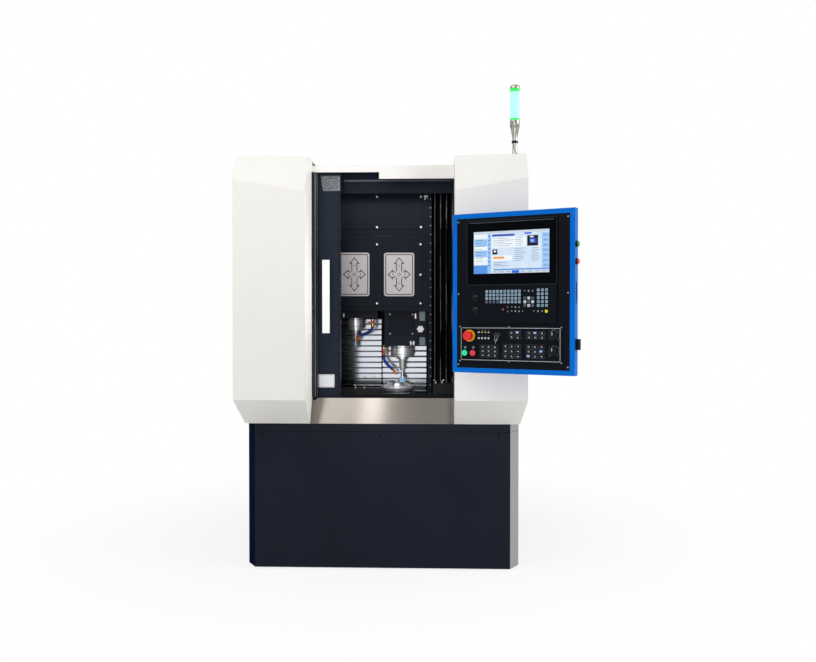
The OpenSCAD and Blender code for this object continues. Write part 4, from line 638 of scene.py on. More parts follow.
# a smooth line through the given points
def smoothLine(points, count=14):
    points = [Vector(p) for p in points]
    points = [points[0] * 2 - points[1]] + points + [points[-1] * 2 - points[-2]]
    line = []
    for a, b, c, d in zip(points, points[1:], points[2:], points[3:]):
        for i in range(count):
            t = i / count
            bend = (2 * a - 5 * b + 4 * c - d) * t * t + (3 * b - a - 3 * c + d) * t ** 3
            line.append(0.5 * (2 * b + (c - a) * t + bend))
    line.append(points[-2])
    return line


# a line cut into a whole number of equal runs near the wanted length
def cutLine(line, wanted, fewest=4):
    runs = [0.0]
    for a, b in zip(line, line[1:]):
        runs.append(runs[-1] + (b - a).length)

    def pointAt(run):
        for i in range(len(line) - 1):
            if runs[i + 1] >= run:
                return line[i].lerp(line[i + 1], (run - runs[i]) / (runs[i + 1] - runs[i]))
        return line[-1]
    count = max(fewest, round(runs[-1] / wanted))
    return [pointAt(i * runs[-1] / count) for i in range(count + 1)]


# a node's lowest and highest corner at rest in millimetres, to a tenth
def edges(node):
    return [[round(v * 1000, 1) for v in corner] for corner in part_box(node)]


# placing: facing turns a face-on shape to look out of a wall (0 front, 90 right side, 180 back, -90 left side)
def standing(x, y, z):
    return Matrix.Translation((x, y, z))


def facing(x, y, z, turn=0.0):
    upright = Matrix.Rotation(math.pi / 2, 4, "X")
    return standing(x, y, z) @ Matrix.Rotation(math.radians(turn), 4, "Z") @ upright


def along(start, end):
    way = Vector(end) - Vector(start)
    return Matrix.Translation(start) @ way.to_track_quat("Z", "X").to_matrix().to_4x4()


# the control panel's own frame: u to its right, w up, out of its front plate
panelPlace = {"centre": (569.5, -1179.0, 1294.5), "yaw": -27.6}
panelFrame = standing(*panelPlace["centre"]) @ Matrix.Rotation(math.radians(panelPlace["yaw"]), 4, "Z")


def onPanel(u, w, out=0.0):
    return panelFrame @ facing(u, -out, w)


def panelLocal(point):
    return panelFrame.inverted() @ point


class Piece:
    def __init__(self, name, body, *finishes):
        self.name, self.body, self.finishes = name, body, list(finishes)
        self.points, self.faces, self.marks = [], [], []

    def stamp(self, shape, place=None, mark=None):
        start = len(self.points)
        place = place or Matrix()
        mark = mark or self.finishes[0]
        if mark not in self.finishes:
            self.finishes.append(mark)
        self.points += [place @ Vector(p) for p in shape[0]]
        self.faces += [[start + i for i in face] for face in shape[1]]
        self.marks += [self.finishes.index(mark)] * len(shape[1])

    def build(self, slot, sharp=36):
        mesh = bpy.data.meshes.new(self.name)
        mesh.from_pydata([tuple(p * 0.001) for p in self.points], [], self.faces)
        for name in self.finishes:
            mesh.materials.append(finish(name))
        mesh.polygons.foreach_set("material_index", self.marks)
        work = bmesh.new()
        work.from_mesh(mesh)
        bmesh.ops.recalc_face_normals(work, faces=work.faces)
        work.to_mesh(mesh)
        work.free()
        mesh.polygons.foreach_set("use_smooth", [True] * len(mesh.polygons))
        mesh.set_sharp_from_angle(angle=math.radians(sharp))
        mesh.update()
        piece = bpy.data.objects.new(self.name, mesh)
        scene.collection.objects.link(piece)
        if self.body:
            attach(piece, self.body)
        return piece


# finishes of the solids
dressing = {
    "basePaint": ["base_frame", "base_front_cover"],
    "navyPaint": ["door_leaf", "trailing_leaf"],
    "whitePaint": ["left_pod", "right_pod", "side_panels", "rear_panel", "roof_panel", "door_header"],
    "castGrey": ["column", "machine_bed", "workhead_housing"],
    "darkPaint": ["saddle", "upper_cover", "head_cover"],
    "headPaint": ["left_head", "right_head"],
    "coverBlackAndSillShade": ["bed_covers", "panel_arm"],
    "zincAndJambHighlight": ["levelling_feet"],
    "brushedSill": ["sill"],
    "groundSteel": ["x_rails", "z_rails"],
    "chuckSteel": ["chuck_body", "jaw_a", "jaw_b", "jaw_c"],
    "polishedSteel": ["left_spindle_housing", "right_spindle_housing", "left_quill", "right_quill"],
    "brass": ["left_coolant_valve", "right_coolant_valve"],
    "leverRed": ["left_valve_lever", "right_valve_lever"],
    "wheelGrit": ["left_wheel", "right_wheel"],
    "knobWhite": ["door_handle", "clamp_knob"],
    "panelBlack": ["panel_plate", "controller_bezel", "machine_control_plate"],
    "stopRed": ["estop_head", "side_stop_button"],
    "litRed": ["stop_button"],
    "litGreen": ["start_button"],
    "pushGreen": ["side_start_button"],
    "dialBlack": ["feed_knob", "speed_knob"],
    "switchGrey": ["key_switch"],
    "towerChrome": ["tower_light_post"],
    "panelBlue": ["panel_housing"],
    "windowGlass": ["door_window"],
    "lensCore": ["tower_light_lens"],
    "slatSteel": ["left_slat_cover", "right_slat_cover"],
    "hoseBlue": ["left_coolant_hose", "right_coolant_hose"],
    "bellowsCloth": ["x_bellows"],
}


def dress(node, names, chooser=None):
    mesh = nodes[node].data
    mesh.materials.clear()
    for name in names:
        mesh.materials.append(finish(name))
    for face in mesh.polygons:
        face.material_index = int(chooser(face.center * 1000, face.normal)) if chooser else 0


for finishName, members in dressing.items():
    for node in members:
        dress(node, [finishName])
undressed = [n for n in nodes if nodes[n].data.materials[0] not in finished.values()]
print("solids dressed, not yet:", undressed)

# parts of one solid that carry a second finish; the base corners carry painted sheen and painted shade, the sill top
# painted shade
secondFinish = {"beamBehindHeader": 65, "panelSide": 273.5, "panelBack": 112, "sillShadeRise": 115.5, "valveSeat": 6.6,
                "collar": (-189, -180), "collarRadius": 25.6, "collarFront": -4.2, "upward": 0.9, "sideways": 0.5,
                "forward": -0.3}
beamFront = edges("door_header")[0][1] + secondFinish["beamBehindHeader"]
sillShadeAbove = edges("left_pod")[0][2] + secondFinish["sillShadeRise"]


def atCollar(c):
    spot, (u, w) = panelLocal(c), secondFinish["collar"]
    return math.hypot(spot.x - u, spot.z - w) < secondFinish["collarRadius"] and spot.y < secondFinish["collarFront"]


# picks the base paint for front faces, the painted sheen copy for right corner faces and the painted shade copy for
# left ones
def cornerSheenAndShade(n):
    if n.y > secondFinish["forward"] or abs(n.x) < secondFinish["sideways"]:
        return 0
    return 1 if n.x > 0 else 2


dress("door_header", ["whitePaint", "navyPaint"], lambda c, n: c.y > beamFront and n.z < secondFinish["upward"])
dress("panel_housing", ["panelBlue", "panelBlack"],
      lambda c, n: panelLocal(c).x > secondFinish["panelSide"] or panelLocal(c).y > secondFinish["panelBack"])
for node in ("base_frame", "base_front_cover"):
    dress(node, ["basePaint", "cornerPaintedSheen", "cornerPaintedShade"], lambda c, n: cornerSheenAndShade(n))
# the sill's upward faces and its upper part are painted near-black: painted shade of the dark interior above
dress("sill", ["brushedSill", "coverBlackAndSillShade"], lambda c, n: n.z > secondFinish["upward"] or c.z > sillShadeAbove)
dress("machine_control_plate", ["panelBlack", "collarYellow"], lambda c, n: atCollar(c))
for side in ("left", "right"):
    seat = edges(side + "_head")[0][2] - secondFinish["valveSeat"]
    dress(side + "_coolant_valve", ["brass", "headPaint"], lambda c, n: c.z > seat)

# base: cover screws
baseScrews = {"places": (-565, -4, 550), "belowTop": 13, "screw": (6.5, 3.5)}
(_, front, _), (_, _, top) = edges("base_front_cover")
piece = Piece("baseCoverScrews", "frame", "coverBlackAndSillShade")
for x in baseScrews["places"]:
    piece.stamp(screwShape(*baseScrews["screw"]), facing(x, front, top - baseScrews["belowTop"]))
piece.build("steel")

# door leaf: corner guard from its upper right corner, bare plate from its lower right corner, edge seal, window seal
doorTrim = {"guard": ((-96, -38), (-84, -111), (-1, -111), (-1, -38)), "guardThick": 2.5,
            "guardScrews": ((-78, -48), (-10, -48), (-10, -102)), "screw": (4, 2),
            "plate": (-69, 77.5), "plateSize": (78, 63), "plateThick": 1.2, "plateLine": 1.2, "lineInset": 6,
            "sealSize": (8, 2.4, 1090), "sealInset": 1, "sealFoot": 6, "sealOut": 1.0,
            "windowBand": 13, "windowThick": 2.6, "windowOverlap": 2, "windowCorner": 18}
(_, leafFront, leafLow), (leafRight, _, leafHigh) = edges("door_leaf")
piece = Piece("doorCornerGuard", "door_lead", "speckledPlate")
piece.stamp(prismShape(doorTrim["guard"], doorTrim["guardThick"], bevel=0.6), facing(leafRight, leafFront, leafHigh))
for u, w in doorTrim["guardScrews"]:
    place = facing(leafRight + u, leafFront - doorTrim["guardThick"], leafHigh + w)
    piece.stamp(screwShape(*doorTrim["screw"]), place, "zincAndJambHighlight")
piece.build("dark_aluminium")

(u, w), (wide, high), thick = doorTrim["plate"], doorTrim["plateSize"], doorTrim["plateThick"]
inset = doorTrim["lineInset"]
piece = Piece("doorBarePlate", "door_lead", "plateWhite")
piece.stamp(plateShape(wide, high, thick, radius=4, bevel=0.4), facing(leafRight + u, leafFront, leafLow + w))
piece.stamp(frameShape(wide - inset, high - inset, doorTrim["plateLine"], thick=0.25, radius=3, bevel=0.1),
            facing(leafRight + u, leafFront - thick, leafLow + w), "printGrey")
piece.build("white_plastic")

wide, thick, tall = doorTrim["sealSize"]
piece = Piece("doorEdgeSeal", "door_lead", "rubber")
x, y = leafRight - wide / 2 - doorTrim["sealInset"], leafFront - doorTrim["sealOut"]
piece.stamp(bevelBox(wide, thick, tall, bevel=0.9), standing(x, y, leafLow + doorTrim["sealFoot"] + tall / 2))
piece.build("black_plastic")

(left, _, low), (right, _, high) = edges("door_window")
overlap = doorTrim["windowOverlap"]
piece = Piece("doorWindowSeal", "door_lead", "rubber")
piece.stamp(frameShape(right - left + overlap, high - low + overlap, doorTrim["windowBand"], doorTrim["windowThick"],
                       doorTrim["windowCorner"], bevel=1.0, steps=6),
            facing((left + right) / 2, leafFront, (low + high) / 2))
piece.build("black_plastic")

# door jamb: glossy dark profile on the left pod, just in front of the leading leaf, with two pale metal strips along it
# as painted highlight lines
jambSetup = {"sunk": 0.2, "reach": 28, "leafGap": 7, "deep": 34, "foot": 1, "belowTop": 26, "joints": (392, 742),
             "steps": 20, "roundness": 0.6, "grooves": (0.30, 0.72), "grooveDeep": 0.05, "grooveWide": 0.035,
             "cap": (20, 20, 6), "capPlace": (11, -12, -2), "highlightLines": (7, 15), "highlightWide": 1.8, "highlightShort": 8}
wall, back = edges("left_pod")[1][0] - jambSetup["sunk"], leafFront - jambSetup["leafGap"]
low, high = leafLow + jambSetup["foot"], leafHigh - jambSetup["belowTop"]
outline = [(wall, back)]
for i in range(jambSetup["steps"] + 1):
    share = i / jambSetup["steps"]
    groove = max(math.exp(-((share - g) / jambSetup["grooveWide"]) ** 2) for g in jambSetup["grooves"])
    swell = 1.0 - jambSetup["grooveDeep"] * groove
    a = math.pi / 2 * share
    outline.append((wall + jambSetup["reach"] * math.cos(a) ** jambSetup["roundness"] * swell,
                    back - jambSetup["deep"] * math.sin(a) ** jambSetup["roundness"] * swell))
outline[-1] = (wall, back - jambSetup["deep"])
piece = Piece("doorJambProfile", "frame", "jambGloss")
piece.stamp(stack([[(x, y, z) for x, y in outline] for z in (low, *(low + j for j in jambSetup["joints"]), high)]))
x, y, z = jambSetup["capPlace"]
piece.stamp(bevelBox(*jambSetup["cap"], bevel=1.5), standing(wall + x, back + y, high + z), "jointGrey")
# two pale metal strips along the profile: painted highlight lines
for spot in jambSetup["highlightLines"]:
    strip = bevelBox(jambSetup["highlightWide"], jambSetup["highlightWide"], high - low - jambSetup["highlightShort"], bevel=0.5)
    piece.stamp(strip, standing(*outline[spot], (low + high) / 2), "zincAndJambHighlight")
piece.build("black_plastic", 50)

# grey strip on the beam behind the header, from the leaf to the right pod: a painted highlight line along the beam
beamHighlightSetup = {"leafGap": 6, "podGap": 2, "belowTop": 53.5, "wide": 9, "beforeBack": 18, "thick": 2.0}
_, (_, back, top) = edges("door_header")
left, right = leafRight + beamHighlightSetup["leafGap"], edges("right_pod")[0][0] - beamHighlightSetup["podGap"]
piece = Piece("beamHighlightStrip", "frame", "beamHighlightGrey")
piece.stamp(plateShape(right - left, beamHighlightSetup["wide"], beamHighlightSetup["thick"], radius=1.5, bevel=0.5, steps=3),
            facing((left + right) / 2, back - beamHighlightSetup["beforeBack"], top - beamHighlightSetup["belowTop"]))
piece.build("steel")
print("base and door trim")

# saddle covers: inner plates with screws on washers, placed from the middle of each plate
saddleTrim = {"upper": {"size": (458, 179), "raise": 5.0,
                        "screws": [(u, w) for u in (-223, -1, 223) for w in (75.5, -79.5)]},
              "head": {"size": (462, 326), "raise": -4.5,
                       "screws": [(u, w) for u in (-223, -1, 221) for w in (153, -147)] + [(221, -1), (-223, -1)]},
              "thick": 2.5, "corner": 4, "washer": ((6.4, 0), (6.4, 0.6), (5.8, 1.0), (0, 1.0)), "screw": (4.4, 3.0),
              "screwOut": 0.9}
for name in ("upper", "head"):
    cover = saddleTrim[name]
    (left, front, low), (right, _, high) = edges(name + "_cover")
    x, z, face = (left + right) / 2, (low + high) / 2 + cover["raise"], front - saddleTrim["thick"]
    piece = Piece(name + "InnerPlate", "saddle", "darkPaint")
    piece.stamp(plateShape(*cover["size"], saddleTrim["thick"], saddleTrim["corner"], bevel=0.8), facing(x, front, z))
    for u, w in cover["screws"]:
        piece.stamp(latheShape(saddleTrim["washer"], 20), facing(x + u, face, z + w), "zincAndJambHighlight")
        piece.stamp(screwShape(*saddleTrim["screw"]), facing(x + u, face - saddleTrim["screwOut"], z + w),
                    "brightScrew")
    piece.build("navy_paint")


# a hollow two-headed arrow along y, half length and half widths given
def arrowLine(half, shaft, headWide, headLong):
    neck = half - headLong
    lower = [(-shaft, -neck), (-headWide, -neck), (0, -half), (headWide, -neck), (shaft, -neck)]
    return lower, [(-u, -w) for u, w in lower]


# axis plates with plain arrows on the head cover, placed from the middle of its inner plate
axisTrim = {"plates": {"R": (112, 0), "L": (-116, 1)}, "size": (154, 221), "thick": 1.6, "corner": 12, "inset": 14,
            "line": 4.2, "ink": 0.3, "upright": (84, 13, 23, 28), "level": (56, 13, 22, 24), "crossing": 17,
            "hub": (7, 24), "hubLine": 2.6, "uprightDots": ((0, 44), (0, -44)), "levelDots": ((31, 0), (-31, 0)),
            "dot": (8, 4)}
wide, high = axisTrim["size"]
line, ink, inset = axisTrim["line"], axisTrim["ink"], axisTrim["inset"]
for letter, (u, w) in axisTrim["plates"].items():
    piece = Piece("axisPlate" + letter, "saddle", "plateSilver")
    piece.stamp(plateShape(wide, high, axisTrim["thick"], axisTrim["corner"], bevel=0.5), facing(x + u, face, z + w))
    top = facing(x + u, face - axisTrim["thick"], z + w)
    piece.stamp(frameShape(wide - inset, high - inset, line, ink, radius=9, bevel=0.1), top, "printMaroon")
    for way in ("upright", "level"):
        for arm, stop in zip(arrowLine(*axisTrim[way]), (-axisTrim["crossing"], axisTrim["crossing"])):
            arm = [(arm[0][0], stop)] + arm + [(arm[-1][0], stop)]
            if way == "level":
                arm = [(b, a) for a, b in arm]
            piece.stamp(strokeShape(arm, line, ink, False), top, "printMaroon")
    piece.stamp(strokeShape(circleLine(*axisTrim["hub"]), axisTrim["hubLine"], ink), top, "printMaroon")
    for dots, size in ((axisTrim["uprightDots"], axisTrim["dot"]), (axisTrim["levelDots"], axisTrim["dot"][::-1])):
        for du, dw in dots:
            dot = plateShape(*size, ink, radius=0.8, bevel=0.1, steps=2)
            piece.stamp(dot, top @ standing(du, dw, 0), "printMaroon")
    piece.build("dark_aluminium")

# clamp strips with small screws along both saddle edges
edgeStrips = {"inset": 6.5, "foot": 7, "belowTop": 5, "wide": 9, "thick": 1.8, "pitch": 45, "firstScrew": 20,
              "lastScrew": 10, "screw": (2.9, 2.0, 12), "stripOut": 0.8, "screwOut": 1.6}
(saddleLeft, front, low), (saddleRight, _, high) = edges("saddle")
low, high = low + edgeStrips["foot"], high - edgeStrips["belowTop"]
for name, x in (("right", saddleRight - edgeStrips["inset"]), ("left", saddleLeft + edgeStrips["inset"])):
    piece = Piece(name + "ClampStrip", "saddle", "darkPaint")
    strip = bevelBox(edgeStrips["wide"], edgeStrips["thick"], high - low, bevel=0.5)
    piece.stamp(strip, standing(x, front - edgeStrips["stripOut"], (high + low) / 2))
    z = low + edgeStrips["firstScrew"]
    while z < high - edgeStrips["lastScrew"]:
        piece.stamp(screwShape(*edgeStrips["screw"]), facing(x, front - edgeStrips["screwOut"], z), "zincAndJambHighlight")
        z += edgeStrips["pitch"]
    piece.build("dark_paint")

# rubber strip behind the gap between the two saddle covers
gapSetup = {"overlap": 3, "narrower": 4, "thick": 1.4}
(left, coverFront, low), (right, back, coverTop) = edges("upper_cover")
low, high = edges("head_cover")[1][2] - gapSetup["overlap"], low + gapSetup["overlap"]
piece = Piece("coverGapStrip", "saddle", "rubber")
wide = right - left - gapSetup["narrower"]
piece.stamp(plateShape(wide, high - low, gapSetup["thick"], radius=1.5, bevel=0.3, steps=3),
            facing((left + right) / 2, back, (low + high) / 2))
piece.build("black_plastic")

# limit switch block at the upper cover's right corner, on two feet
switchBlock = {"fromRight": 6, "fromTop": 29, "size": (27, 9, 10), "foot": (7, 7, 7), "feet": (-8, 8), "drop": 12,
               "footOut": 3.4, "screw": (2.2, 1.4, 12)}
x, z = right - switchBlock["fromRight"], coverTop - switchBlock["fromTop"]
deep = switchBlock["size"][1]
piece = Piece("limitSwitchBlock", "saddle", "knobWhite")
piece.stamp(bevelBox(*switchBlock["size"]), standing(x, coverFront - deep / 2, z))
for side in switchBlock["feet"]:
    piece.stamp(bevelBox(*switchBlock["foot"], bevel=0.6),
                standing(x + side, coverFront - switchBlock["footOut"], z - switchBlock["drop"]))
piece.stamp(screwShape(*switchBlock["screw"]), facing(x, coverFront - deep, z), "zincAndJambHighlight")
piece.build("white_plastic")
print("saddle covers, axis plates, clamp strips")

# lamella covers below the heads: each slat has a bright face and a grey web behind it
slatSetup = {"pitch": 28.9, "faceShare": 0.84, "deep": 11, "edge": ((1.2, 0.2), (0.3, 0.7), (0, 1.6), (0, 3)),
             "endStep": 0.8, "webThick": 4.0, "webBack": 9.8, "webNarrower": 3, "webShare": 0.999, "blendY": -0.11}
for name in ("left", "right"):
    (x0, front, low), (x1, _, high) = edges(name + "_slat_cover")
    middle = (x0 + x1) / 2
    count = round((high - low) / slatSetup["pitch"])
    pitch = (high - low) / count
    tall = pitch * slatSetup["faceShare"]
    lower = [(front + y, z) for y, z in slatSetup["edge"]]
    upper = [(y, tall - z) for y, z in lower[::-1]]
    profile = [(front + slatSetup["deep"], 0.2)] + lower + upper + [(front + slatSetup["deep"], tall)]
    step = slatSetup["endStep"]
    web = bevelBox(x1 - x0 - slatSetup["webNarrower"], slatSetup["webThick"], pitch * slatSetup["webShare"], bevel=0.5)
    piece = Piece(name + "LamellaCover", None, "slatSteel", "slatGroove")
    for i in range(count):
        base = low + i * pitch
        rings = [[(x, y, base + z) for y, z in profile] for x in (x0, x0 + step, x1 - step, x1)]
        piece.stamp(stack(rings), None, "slatSteel")
        piece.stamp(web, standing(middle, front + slatSetup["webBack"], base + pitch / 2), "slatGroove")
    cover = piece.build("steel", 30)
    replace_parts(cover, name + "_slat_cover")
    start, end = ((middle / 1000, slatSetup["blendY"], z / 1000) for z in (low, high))
    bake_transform(cover)

# folding bellows of coated cloth between column and saddle, with paler fold edges as painted highlights
bellowsSetup = {"saddleGap": 0.3, "inset": 2.5, "folds": 7, "thick": 1.6, "tip": 3.2, "tipReach": 2.2, "tipMost": 0.42,
                "tipShares": (0.0, 0.25, 0.5, 0.75, 1.0), "rows": 22, "wave": 1.1, "sideways": 0.6,
                "pushTurn": (0.017, 0.9), "liftTurn": (0.011, 0.7), "highlightDeep": 3.4, "blendAt": (-0.31, 1.3)}
(frameLeft, front, low), (frameRight, back, high) = edges("x_bellows")
front, back = front + bellowsSetup["inset"], back - bellowsSetup["inset"]
folds, thick, rows = bellowsSetup["folds"], bellowsSetup["thick"], bellowsSetup["rows"]
(pushZ, pushI), (liftZ, liftI) = bellowsSetup["pushTurn"], bellowsSetup["liftTurn"]
bellowsEnds = {"left": (frameLeft, saddleLeft - bellowsSetup["saddleGap"]),
               "right": (frameRight, saddleRight + bellowsSetup["saddleGap"])}
for name, (atFrame, atSaddle) in bellowsEnds.items():
    x0, x1 = sorted((atFrame, atSaddle))
    step = (x1 - x0) / (2 * folds)
    tip = min(bellowsSetup["tip"], step * bellowsSetup["tipMost"]) * bellowsSetup["tipReach"]
    corners = [(x0 + i * step, front if i % 2 else back) for i in range(2 * folds + 1)]
    line = [corners[0]]
    for fold in zip(corners, corners[1:], corners[2:]):
        a, b, c = (Vector(p) for p in fold)
        start, end = b.lerp(a, tip / (a - b).length), b.lerp(c, tip / (c - b).length)
        line += [tuple(start.lerp(b, share).lerp(b.lerp(end, share), share)) for share in bellowsSetup["tipShares"]]
    line.append(corners[-1])
    across = len(line)
    rings = []
    for r in range(rows + 1):
        z = low + (high - low) * r / rows
        outer, inner = [], []
        for i, (x, y) in enumerate(line):
            (ax, ay), (bx, by) = line[max(i - 1, 0)], line[min(i + 1, across - 1)]
            size = math.hypot(bx - ax, by - ay)
            nx, ny = -(by - ay) / size * thick / 2, (bx - ax) / size * thick / 2
            slack = bellowsSetup["wave"] * math.sin(math.pi * r / rows) * math.sin(math.pi * i / (across - 1))
            x += slack * bellowsSetup["sideways"] * math.sin(z * pushZ + i * pushI)
            y += slack * (0.5 + 0.5 * math.sin(z * liftZ + i * liftI))
            outer.append((x + nx, y + ny, z))
            inner.append((x - nx, y - ny, z))
        rings.append(outer + inner[::-1])
    piece = Piece(name + "Bellows", None, "bellowsCloth", "bellowsPaintedHighlight")
    piece.stamp(stack(rings, False))
    # faces near the front fold tips take the painted highlight
    for number, face in enumerate(piece.faces):
        depth = sum(piece.points[i].y for i in face) / len(face)
        piece.marks[number] = 1 if depth < front + bellowsSetup["highlightDeep"] else 0
    for first, flip in ((0, 1), (rows * 2 * across, -1)):
        for i in range(across - 1):
            ends = [first + i, first + i + 1, first + 2 * across - 2 - i, first + 2 * across - 1 - i]
            piece.faces.append(ends[::flip])
            piece.marks.append(0)
    cloth = piece.build("bellows_cloth", 60)
    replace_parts(cloth, "x_bellows")
    start, end = ((x / 1000, *bellowsSetup["blendAt"]) for x in (atFrame, atSaddle))
    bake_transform(cloth)
print("lamella covers and bellows")

# heads: front cover plate, grey strip and pipe fittings, placed from each head's lower left corner
headTrim = {"plate": (86, 112.5), "plateSize": (130, 113), "plateThick": 2.5,
            "screws": [(u, w) for w in (-49.5, 49.5) for u in (-58, 58)], "screw": (4.2, 2.6),
            "strip": 194, "stripWide": 30, "stripThick": 2.2, "stripSpans": ((3, 46), (128, 178)),
            # foot block and how far its middle stands out, barrel and how far its axis stands out
            "large": ((10, 7, 9), 3.2, (7, 14), 8.4), "small": ((7, 6, 8), 2.8, (5, 11), 6.4),
            "slim": ((9, 6, 10), 2.8, (4.6, 10), 6.2),
            "rightFittings": (("large", 160, 154), ("small", 135.5, 14), ("small", 150.5, 14)),
            "leftFittings": (("slim", 57, 15),)}
headCorner = {side: edges(side + "_head")[0] for side in ("left", "right")}
headFront = headCorner["left"][1]


def stampFittings(piece, side):
    x, _, z = headCorner[side]
    for kind, u, w in headTrim[side + "Fittings"]:
        foot, footOut, pipe, pipeOut = headTrim[kind]
        piece.stamp(bevelBox(*foot, bevel=0.8), standing(x + u, headFront - footOut, z + w), "zincAndJambHighlight")
        piece.stamp(barrel(*pipe), standing(x + u, headFront - pipeOut, z + w), "brightScrew")
    piece.build("chrome")


x, _, z = headCorner["right"]
(u, w), thick = headTrim["plate"], headTrim["plateThick"]
piece = Piece("rightHeadPlate", "right_head", "darkPaint")
piece.stamp(plateShape(*headTrim["plateSize"], thick, radius=3, bevel=0.7), facing(x + u, headFront, z + w))
for du, dw in headTrim["screws"]:
    piece.stamp(screwShape(*headTrim["screw"]), facing(x + u + du, headFront - thick, z + w + dw), "zincAndJambHighlight")
piece.build("dark_paint")
piece = Piece("rightHeadStrip", "right_head", "stripGrey")
for w0, w1 in headTrim["stripSpans"]:
    piece.stamp(plateShape(headTrim["stripWide"], w1 - w0, headTrim["stripThick"], radius=2, bevel=0.6),
                facing(x + headTrim["strip"], headFront, z + (w0 + w1) / 2))
piece.build("dark_aluminium")
stampFittings(Piece("rightHeadFittings", "right_head", "brightScrew", "zincAndJambHighlight"), "right")
stampFittings(Piece("leftHeadFitting", "left_head", "brightScrew", "zincAndJambHighlight"), "left")

# polished noses: dark clamp grooves and cap screws in the collars
noseTrim = {"screws": {"left": 6, "right": 8}, "screw": (3.2, 2.0, 12), "screwInset": 9, "lowGroove": 9,
            "highGroove": 8, "groove": (0.35, 1.1, 1.0, 64)}
for side, count in noseTrim["screws"].items():
    (left, front, low), (right, back, _) = edges(side + "_spindle_housing")
    x, y, radius = (left + right) / 2, (front + back) / 2, (right - left) / 2
    piece = Piece(side + "NoseRings", side + "_head", "grooveDarkAndSlotShade", "darkScrew")
    for z in (low + noseTrim["lowGroove"], headCorner[side][2] - noseTrim["highGroove"]):
        piece.stamp(grooveRing(radius, *noseTrim["groove"]), standing(x, y, z))
    for i in range(count):
        u, v = onCircle(radius - noseTrim["screwInset"], 360 * (i + 0.5) / count)
        upsideDown = standing(x + u, y + v, low) @ Matrix.Rotation(math.pi, 4, "X")
        piece.stamp(screwShape(*noseTrim["screw"]), upsideDown, "darkScrew")
    piece.build("steel")

# chuck: ground ring grooves and face screws that turn with it
chuckTrim = {"belowTop": (44, 29, 14), "groove": (0.3, 1.3, 1.1, 72), "screws": 6, "screw": (4.2, 2.2, 14),
             "screwInset": 14}
(left, front, _), (right, back, top) = edges("chuck_body")
x, y, radius = (left + right) / 2, (front + back) / 2, (right - left) / 2
piece = Piece("chuckRings", "work_spindle", "grooveDarkAndSlotShade", "darkScrew")
for drop in chuckTrim["belowTop"]:
    piece.stamp(grooveRing(radius, *chuckTrim["groove"]), standing(x, y, top - drop))
for i in range(chuckTrim["screws"]):
    u, v = onCircle(radius - chuckTrim["screwInset"], 360 * (i + 0.25) / chuckTrim["screws"])
    piece.stamp(screwShape(*chuckTrim["screw"]), standing(x + u, y + v, top), "darkScrew")
piece.build("steel")

# coolant hoses: snapped ball segments on a fixed bend, orange ring and nozzle; routes as in the part's source
hoseSetup = {"left": ((-76, -272, 1145), (-82, -269, 1125), (-116, -258, 1105), (-150, -247, 1096), (-161, -240, 1067)),
             "right": ((-18, -272, 1002), (-16, -268, 972), (2, -258, 944), (28, -246, 920), (46, -238, 894)),
             "segment": 11.0, "ball": 8.8, "neck": 5.4, "ring": 9.6, "ringDeep": 8.0, "mouthUp": 4.0,
             "nozzle": 8.2, "tip": 4.6, "bore": 1.8}
ball, neck = hoseSetup["ball"], hoseSetup["neck"]
ring, deep = hoseSetup["ring"], hoseSetup["ringDeep"]
nozzle, tip, bore = hoseSetup["nozzle"], hoseSetup["tip"], hoseSetup["bore"]
for side in ("left", "right"):
    *route, mouthEnd = hoseSetup[side]
    x, y, z = route[0]
    piece = Piece(side + "CoolantHose", side + "_head", "hoseBlue", "nozzleOrange")
    collar = [(0, -deep), (ring - 1.2, -deep), (ring, 1.2 - deep), (ring, -1.2), (ring - 1.2, 0), (0, 0)]
    piece.stamp(latheShape(collar, 28), standing(x, y, z + hoseSetup["mouthUp"]), "nozzleOrange")
    cuts = cutLine(smoothLine(route), hoseSetup["segment"])
    for start, end in zip(cuts, cuts[1:]):
        long = (end - start).length
        bulb = [(0, -1.5), (neck, -1.5), (neck + 0.4, long * 0.08), (ball - 0.6, long * 0.22), (ball, long * 0.42),
                (ball - 0.4, long * 0.64), (neck + 0.9, long * 0.86), (neck, long + 0.5), (0, long + 0.5)]
        piece.stamp(latheShape(bulb, 20), along(start, end))
    last = Vector(route[-1])
    long = (Vector(mouthEnd) - last).length
    spout = [(0, -2), (nozzle, -2), (nozzle, 5), (nozzle - 1.4, 7), (tip + 1.2, long - 3), (tip, long), (bore, long),
             (bore, long - 5), (0, long - 5)]
    piece.stamp(latheShape(spout, 22), along(last, mouthEnd), "nozzleOrange")
    hose = piece.build("blue_plastic", 50)
    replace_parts(hose, side + "_coolant_hose")
print("head trim and coolant hoses")

# bed covers: small chrome pipe fittings that stand on their tops; the left cover is lower
bedFittings = {"left": ((-150, -420), (-106, -418)), "right": ((252, -415), (284, -415)),
               "lower": {"left": 25, "right": 0}, "nut": (12, 4), "pipe": 3.0,
               "bend": ((0, 0, 3), (0, 0, 9), (2, -2, 13), (8, -3, 15)),
               "end": ((0, 4), (4.2, 4), (4.2, 8), (3.4, 9), (0, 9))}
piece = Piece("bedCoverFittings", "frame", "chrome")
for side in ("left", "right"):
    top = edges("bed_covers")[1][2] - bedFittings["lower"][side]
    for (x, y), way in zip(bedFittings[side], (-1, 1)):
        piece.stamp(hexNut(*bedFittings["nut"]), standing(x, y, top), "zincAndJambHighlight")
        bend = [(x + way * u, y + v, top + w) for u, v, w in bedFittings["bend"]]
        piece.stamp(tubeShape(smoothLine(bend, 5), bedFittings["pipe"], 14))
        piece.stamp(latheShape(bedFittings["end"], 16), along(bend[-2], bend[-1]))
piece.build("chrome")

